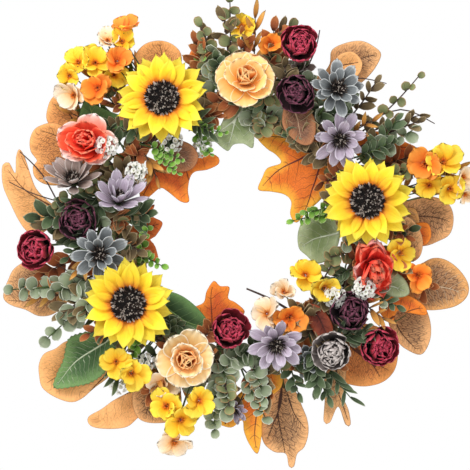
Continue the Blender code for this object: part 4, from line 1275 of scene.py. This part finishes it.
# Kind, clock angle, out, depth, aim, length, pairs of leaves, tilt to the front, scale, sway
placed_sprigs = (
    ("olive", 93, 4, 16, 86, 92, 5, 4, 1.05, 0.05),
    ("olive", 97, 10, 18, 99, 66, 4, 8, 1.0, 0.1),
    ("olive", 82, 12, 16, 66, 70, 4, 6, 0.95, -0.1),
    ("dusty", 100, 0, 18, 84, 45, 3, 14, 0.9, 0.0),
    ("olive", 38, 14, 14, 34, 92, 4, 6, 0.8, 0.15),
    ("dusty", 30, 12, 18, 22, 62, 4, 8, 1.05, 0.1),
    ("dusty", 200, 12, 16, 193, 88, 5, 8, 1.05, -0.1),
    ("dusty", 206, 14, 18, 212, 72, 4, 8, 1.1, 0.1),
    ("dusty", 198, 14, 20, 202, 48, 3, 12, 1.25, 0.0),
    ("dusty", 262, -10, 18, 286, 62, 5, 14, 1.15, -0.15),
    ("dusty", 266, 10, 20, 248, 60, 5, 10, 1.0, 0.2),
    ("dusty", 272, 6, 20, 290, 58, 4, 12, 0.9, 0.1),
    ("olive", 350, -16, 16, 226, 52, 4, 12, 0.8, 0.2),
    ("olive", 155, -6, 24, 128, 44, 4, 12, 0.7, 0.1),
    ("olive", 157, 0, 26, 190, 34, 3, 12, 0.7, 0.1),
    ("olive", 22, 24, 16, 356, 54, 4, 10, 0.9, 0.2),
    ("bright", 108, 20, 16, 62, 48, 5, 8, 1.1, 0.2),
    ("bright", 134, -6, 24, 300, 42, 5, 14, 1.15, 0.2),
    ("bright", 138, 0, 24, 345, 46, 5, 14, 1.15, -0.1),
    ("bright", 114, -8, 22, 330, 40, 4, 10, 1.15, 0.2),
    ("bright", 112, -14, 16, 290, 34, 4, 10, 1.2, 0.2),
    ("bright", 203, -6, 20, 50, 58, 5, 4, 1.3, 0.25),
    ("bright", 190, -10, 20, 352, 44, 5, 8, 1.2, -0.2),
    ("bright", 8, -12, 20, 180, 56, 5, 8, 1.25, 0.12),
    ("bright", 14, -10, 22, 200, 44, 5, 10, 1.2, -0.1),
    ("bright", 226, 6, 30, 250, 40, 4, 10, 1.3, 0.1),
    ("dark", 300, 4, 22, 292, 56, 5, 6, 1.1, 0.1),
    ("dark", 306, -4, 24, 286, 54, 5, 8, 1.2, -0.1),
    ("spear", 304, 10, 20, 300, 62, 4, 4, 1.0, 0.1),
    ("dark", 174, 16, 14, 178, 50, 3, 10, 1.7, 0.1),
    ("dark", 172, -4, 20, 350, 34, 3, 10, 1.6, 0.1),
    ("bronze", 34, 10, 18, 30, 72, 4, 8, 0.9, -0.1),
    ("dark", 28, 6, 20, 36, 60, 4, 12, 1.2, 0.2),
    ("rust", 100, 14, 16, 100, 46, 3, 6, 1.3, 0.1),
    ("rust", 78, 20, 18, 76, 52, 3, 6, 1.3, 0.1),
    ("rust", 190, 20, 14, 196, 46, 3, 6, 1.4, 0.1),
    ("rust", 240, 10, 18, 246, 44, 3, 6, 1.3, 0.1),
    ("rust", 342, 24, 6, 344, 46, 3, 2, 1.3, 0.1),
    ("rust", 24, 20, 10, 22, 46, 3, 2, 1.3, -0.1),
    ("olive", 130, 20, 4, 130, 72, 4, -1, 1.0, 0.1),
    ("grass", 125, 20, 5, 124, 66, 4, -1, 1.2, -0.1),
    ("grass", 138, 20, 6, 142, 60, 4, 0, 1.3, 0.1),
    ("spear", 224, 14, 16, 248, 50, 4, 10, 1.1, 0.1),
    ("dark", 48, 6, 18, 52, 42, 3, 6, 1.5, 0.1),
    ("dusty", 52, 0, 18, 44, 38, 3, 6, 1.0, 0.1),
    ("dark", 56, -2, 18, 40, 44, 3, 8, 1.4, -0.1),
    ("ochre", 84, 14, 12, 80, 68, 3, 4, 1.1, 0.1),
    ("bronze", 92, 12, 16, 92, 66, 3, 4, 1.0, 0.05),
    ("bronze", 98, 14, 14, 106, 52, 3, 6, 1.0, -0.1),
    ("bronze", 78, 14, 16, 70, 60, 3, 6, 0.9, 0.1),
    ("rust", 87, 14, 14, 84, 50, 3, 6, 1.1, 0.1),
    ("ochre", 122, 20, 4, 119, 68, 4, 0, 1.1, 0.1),
    ("ochre", 134, 20, 5, 135, 70, 4, 0, 1.2, -0.1),
    ("rust", 127, 20, 5, 127, 62, 4, 0, 1.1, 0.1),
    ("ochre", 142, 20, 6, 146, 50, 3, 0, 1.1, 0.1),
    ("ochre", 14, 24, 10, 12, 72, 4, 2, 1.2, 0.1),
    ("bronze", 20, 24, 10, 18, 62, 3, 2, 0.9, -0.1),
    ("ochre", 196, 20, 10, 200, 54, 3, 4, 1.2, 0.1),
    ("bronze", 204, 16, 18, 206, 44, 3, 8, 1.1, 0.1),
    ("bronze", 178, 10, 16, 176, 46, 3, 6, 1.1, 0.1),
    ("rust", 344, 20, 12, 336, 46, 3, 4, 1.1, 0.1),
    ("bronze", 44, 16, 14, 46, 56, 4, 6, 0.8, 0.1),
    ("bronze", 38, 14, 16, 26, 74, 4, 6, 0.75, -0.1),
    ("ochre", 250, 14, 14, 248, 46, 3, 4, 1.1, 0.1),
)
for seed, form in enumerate(placed_sprigs):
    add_sprig(*form, 0.1, seed)

filler_kinds = "dark dusty rust olive bronze spear olive rust dark dusty bronze ochre dark".split()
filler_count = 96
collar_clock = 90.5
for index in range(filler_count):
    clock = 360 / filler_count * index + 2 * math.sin(5 * index)
    inward = index % 3 == 1
    if inward and 84 < clock < 106 or abs(clock - collar_clock) < 3:
        continue
    kind = filler_kinds[index % len(filler_kinds)]
    out = (-4 if inward else 6) + 3 * math.sin(index)
    aim = clock + (180 if inward else 0) + 50 * math.sin(2.3 * index)
    length = (24 if inward else 40) + 6 * math.sin(3.1 * index)
    tilt = 18 + 10 * math.sin(1.7 * index)
    sway = 0.2 * math.sin(index)
    add_sprig(kind, clock, out, 13.5 + 4 * (index % 3), aim, length, 3, tilt, 1.0, sway, 0.0, 200 + index)

cover_kinds = "rust dark bronze dark dusty rust olive bronze".split()
cover_count = 56
for index in range(cover_count):
    clock = 360 / cover_count * index + 2 * math.sin(7 * index)
    kind = cover_kinds[index % len(cover_kinds)]
    out = 9 * math.sin(4.1 * index)
    aim = clock + (90 if index % 2 else -90) + 20 * math.sin(2.9 * index)
    tilt = 6 + 4 * math.sin(1.3 * index)
    sway = 0.15 if index % 2 else -0.15
    add_sprig(kind, clock, out, 14.5 + 3 * (index % 3), aim, 34, 3, tilt, 1.15, sway, 0.0, 400 + index)
for kind, meshes in sprays.items():
    stands_for = ["eucalyptus_spray"] if kind == "olive" else []
    walled(piece(f"{kind}_sprigs", gathered(meshes), stands_for), 0.3)


# --- Blossoms ----------------------------------------------------------------------------------------------
# Small five-petalled flowers in yellow, orange, peach and cream, each on its own thin stem.

bloom_colours = {
    "yellow": cloth_finish("yellow_bloom", ((0.0, "ef9a10"), (0.35, "fdc81e"), (1.0, "ffe74e")), 0.06, 8.0),
    "peach": cloth_finish("peach_bloom", ((0.0, "f0a03c"), (0.4, "f9d6a4"), (1.0, "fef2de")), 0.05, 8.0),
    "orange": cloth_finish("orange_bloom", ((0.0, "d9560c"), (0.4, "f7861c"), (1.0, "ffa93e")), 0.06, 8.0),
}
bloom_petal = petal(15.0, 15.0, 0.6, 0.3, 0.35, 0.05, 0.1, 0.05, 3.0, 8, 7)
pollen = petal(4.5, 0.9, 0.3, 0.5, rows=4, columns=3)
# Colour, clock angle, out, depth, turn, lift, scale
blooms = (
    ("yellow", 133, 97, 20, -20, 20, 1.0),
    ("yellow", 137, 94, 24, -10, -10, 0.9),
    ("yellow", 130, 86, 22, 5, 10, 1.2),
    ("peach", 124, 96, 16, -5, 30, 0.9),
    ("yellow", 121, 88, 16, 0, 20, 1.0),
    ("orange", 125, 74, 30, 10, 10, 1.1),
    ("orange", 134, 66, 30, -10, 0, 1.2),
    ("peach", 140, 78, 24, -25, -5, 1.2),
    ("orange", 119, 96, 16, 5, 50, 1.1),
    ("yellow", 128, 66, 16, 0, 0, 1.0),
    ("yellow", 88, 72, 20, 0, 20, 1.0),
    ("orange", 79, 58, 26, 0, 10, 1.0),
    ("yellow", 18, 86, 32, 5, 15, 1.3),
    ("orange", 19, 70, 32, -20, 0, 1.3),
    ("peach", 13, 100, 26, 40, 0, 1.0),
    ("yellow", 11, 86, 28, 20, -10, 1.0),
    ("yellow", 13, 68, 28, 0, -10, 1.1),
    ("peach", 9, 100, 22, 30, -30, 0.8),
    ("yellow", 228, 46, 40, -5, 0, 1.1),
    ("yellow", 234, 46, 40, 10, -10, 1.2),
    ("yellow", 249, 58, 34, -15, 5, 1.3),
    ("yellow", 254, 66, 34, 5, 0, 1.2),
    ("yellow", 258, 44, 40, 10, 10, 1.2),
    ("peach", 245, 40, 26, -10, -5, 1.2),
    ("peach", 254, 89, 14, 5, -30, 1.1),
    ("yellow", 327, -43, 28, 0, 20, 1.2),
    ("yellow", 327, -22, 30, 10, -10, 1.1),
    ("orange", 302, -25, 32, 0, -10, 1.3),
    ("peach", 308, -47, 26, -10, 20, 1.0),
    ("peach", 291, -37, 26, -15, 10, 1.2),
    ("yellow", 352, 36, 30, 10, 0, 1.1),
    ("orange", 346, 58, 22, 20, 0, 1.1),
)
opened = {shade: [] for shade in bloom_colours}
for index, (shade, clock, out, depth, turn, lift, size) in enumerate(blooms):
    layers = [
        row_of(bloom_petal, 5, 0.8, 0, 30, 0, 0.7, 0.0, index + 300, bloom_colours[shade]),
        row_of(pollen, 9, 0.6, 1, 66, 0, 0.5, 0.0, index + 340, bloom_colours["orange"]),
        row_of(pollen, 6, 1.0, -0.8, 15, 0, 0.4, 0.0, index + 380, sepal_green),
    ]
    place = posed(clock, out, depth, turn, lift, 31 * index) @ Matrix.Scale(size, 4)
    mesh = grow(layers)
    mesh.transform(place)
    opened[shade].append(mesh)
    stalk(place, clock, 10, 0.6)
for shade, meshes in opened.items():
    stands_for = ["blossom_spray"] if shade == "yellow" else []
    walled(piece(f"{shade}_blossoms", gathered(meshes), stands_for), 0.3)


# --- White florets -----------------------------------------------------------------------------------------
# Tight bunches of tiny white flowers on hair-thin stalks, like dried gypsophila.


def bunch_tree():
    """Florets over a dome, each facing out from the bunch's centre."""
    tree, source, result = geometry_tree(
        "bunch", Object=["Floret"], Int=["Count", "Seed"], Float=["Radius"], Material=["Finish"]
    )
    index = put(tree, "GeometryNodeInputIndex")
    count = source["Count"]
    high = 1.0 - (index + 0.5) / count * 0.85
    flat = (1.0 - high * high).calc("SQRT")
    way = on_circle(tree, flat, index * golden_turn, high)
    reach = chance(tree, 0.75, 1.1, source["Seed"]) * source["Radius"]
    place = put(tree, "ShaderNodeVectorMath", {0: way, "Scale": reach}, operation="SCALE")
    turned = put(tree, "FunctionNodeAlignRotationToVector", {"Vector": way}, axis="Z")
    florets = scattered(tree, count, place, source["Floret"], turned, (1, 1, 1), None, source["Finish"])
    return joined(tree, result, source["Geometry"], florets)


bunch = bunch_tree()
white_cloth = cloth_finish("white_floret", ((0.0, "9aa86a"), (0.3, "e9e8dc"), (1.0, "fbfbf8")), 0.05, 6.0)
floret_petal = petal(3.6, 3.8, 0.5, 0.25, 0.3, 0.1, rows=4, columns=4)
floret = pattern(grow([row_of(floret_petal, 5, 0.1, 0, 30, 0, 0.3, 0.0, 1, white_cloth)]))
# Clock angle, out, depth, turn, lift, how many florets, radius of the bunch
bunches = (
    (147, 23, 46, 0, 10, 24, 10),
    (150, -14, 32, 0, 0, 22, 9),
    (112, -38, 16, 0, 0, 16, 8),
    (126, -18, 28, 10, 0, 20, 10),
    (326, -8, 30, 0, 10, 26, 10),
    (336, 13, 34, 0, 0, 26, 10),
    (236, 31, 30, 0, 0, 16, 9),
    (233, 60, 12, 0, 0, 18, 10),
)
white = []
for index, (clock, out, depth, turn, lift, count, radius) in enumerate(bunches):
    place = posed(clock, out, depth, turn, lift)
    sizes = {"Floret": floret, "Count": count, "Radius": radius / 1000, "Seed": index, "Finish": white_cloth}
    mesh = grow([(bunch, sizes)])
    mesh.transform(place)
    white.append(mesh)
    stalk(place, clock, 6, 0.7)
walled(piece("white_bunches", gathered(white)), 0.2)


# --- Twigs -------------------------------------------------------------------------------------------------
# Bare dark twigs of flocked wire that stick out between the leaves, and one thick twig at the inner edge.

# Clock angle, out and depth of each stop, and the radius
twigs = (
    ((176, 36, 20), (164, 70, 16), (160, 98, 12), 1.1),
    ((172, 20, 22), (170, 71, 14), (168, 100, 10), 0.9),
    ((66, 40, 20), (66, 67, 18), (67, 86, 16), 1.0),
    ((40, 30, 20), (36, 74, 16), (28, 95, 14), 1.0),
    ((308, -10, 18), (299, -45, 18), (281, -66, 18), 1.7),
    ((198, 20, 24), (197, 33, 28), (190, 54, 20), 1.0),
    ((60, 30, 20), (52, 62, 20), (44, 80, 14), 0.9),
    ((278, 10, 24), (272, 40, 24), (267, 64, 22), 0.9),
)
bare = []
for *stops, thick in twigs:
    root = polar(stops[0][0], 4, bundle_radius + 3)
    bare.append(rod([root, *(polar(*stop) for stop in stops)], thick, 0.5 * thick, twig_brown))
piece("bare_twigs", gathered(bare))
piece("stalks", gathered(stalks))
for shape in patterns:
    bpy.data.objects.remove(shape)


# --- Studio ------------------------------------------------------------------------------------------------
# The wreath hangs free in front of nothing, over a round pale floor, in soft light from the front and above.

low, high = cad_box
floor_drop = 0.25
camera_distance = 3.0
view_width = 1.009 * (high.x - low.x)
floor_place = (0, 0, low.z - floor_drop)
bpy.ops.mesh.primitive_circle_add(vertices=96, radius=0.9, fill_type="NGON", location=floor_place)
floor = bpy.context.object
floor.name = "studio_floor"
paper_stops = ((0.0, "e9e7e3"), (1.0, "f4f2ef"))
floor.data.materials.append(flecked_finish("floor_paper", 0.9, 40.0, 3.0, paper_stops))

world = bpy.data.worlds.new("studio")
world.use_nodes = True
world.node_tree.nodes["Background"].inputs["Color"].default_value = (1, 1, 1, 1)
world.node_tree.nodes["Background"].inputs["Strength"].default_value = 1.0
bpy.context.scene.world = world
bpy.context.scene.view_settings.view_transform = "Standard"

lamp_place = Vector((-0.6, -1.3, 0.9))
lamp_data = bpy.data.lights.new("key_lamp", "AREA")
lamp_data.size = 0.5
lamp_data.energy = 14
lamp = bpy.data.objects.new("key_lamp", lamp_data)
bpy.context.scene.collection.objects.link(lamp)
lamp.location = ring_centre + lamp_place
lamp.rotation_euler = (-lamp_place).to_track_quat("-Z", "Y").to_euler()

camera_data = bpy.data.cameras.new("front_camera")
camera_data.sensor_width = 36
camera_data.lens = 36 * camera_distance / view_width
camera = bpy.data.objects.new("front_camera", camera_data)
bpy.context.scene.collection.objects.link(camera)
camera.location = ring_centre + Vector((0, -camera_distance, -0.005))
camera.rotation_euler = (math.pi / 2, 0, 0)
bpy.context.scene.camera = camera

bpy.context.view_layer.update()
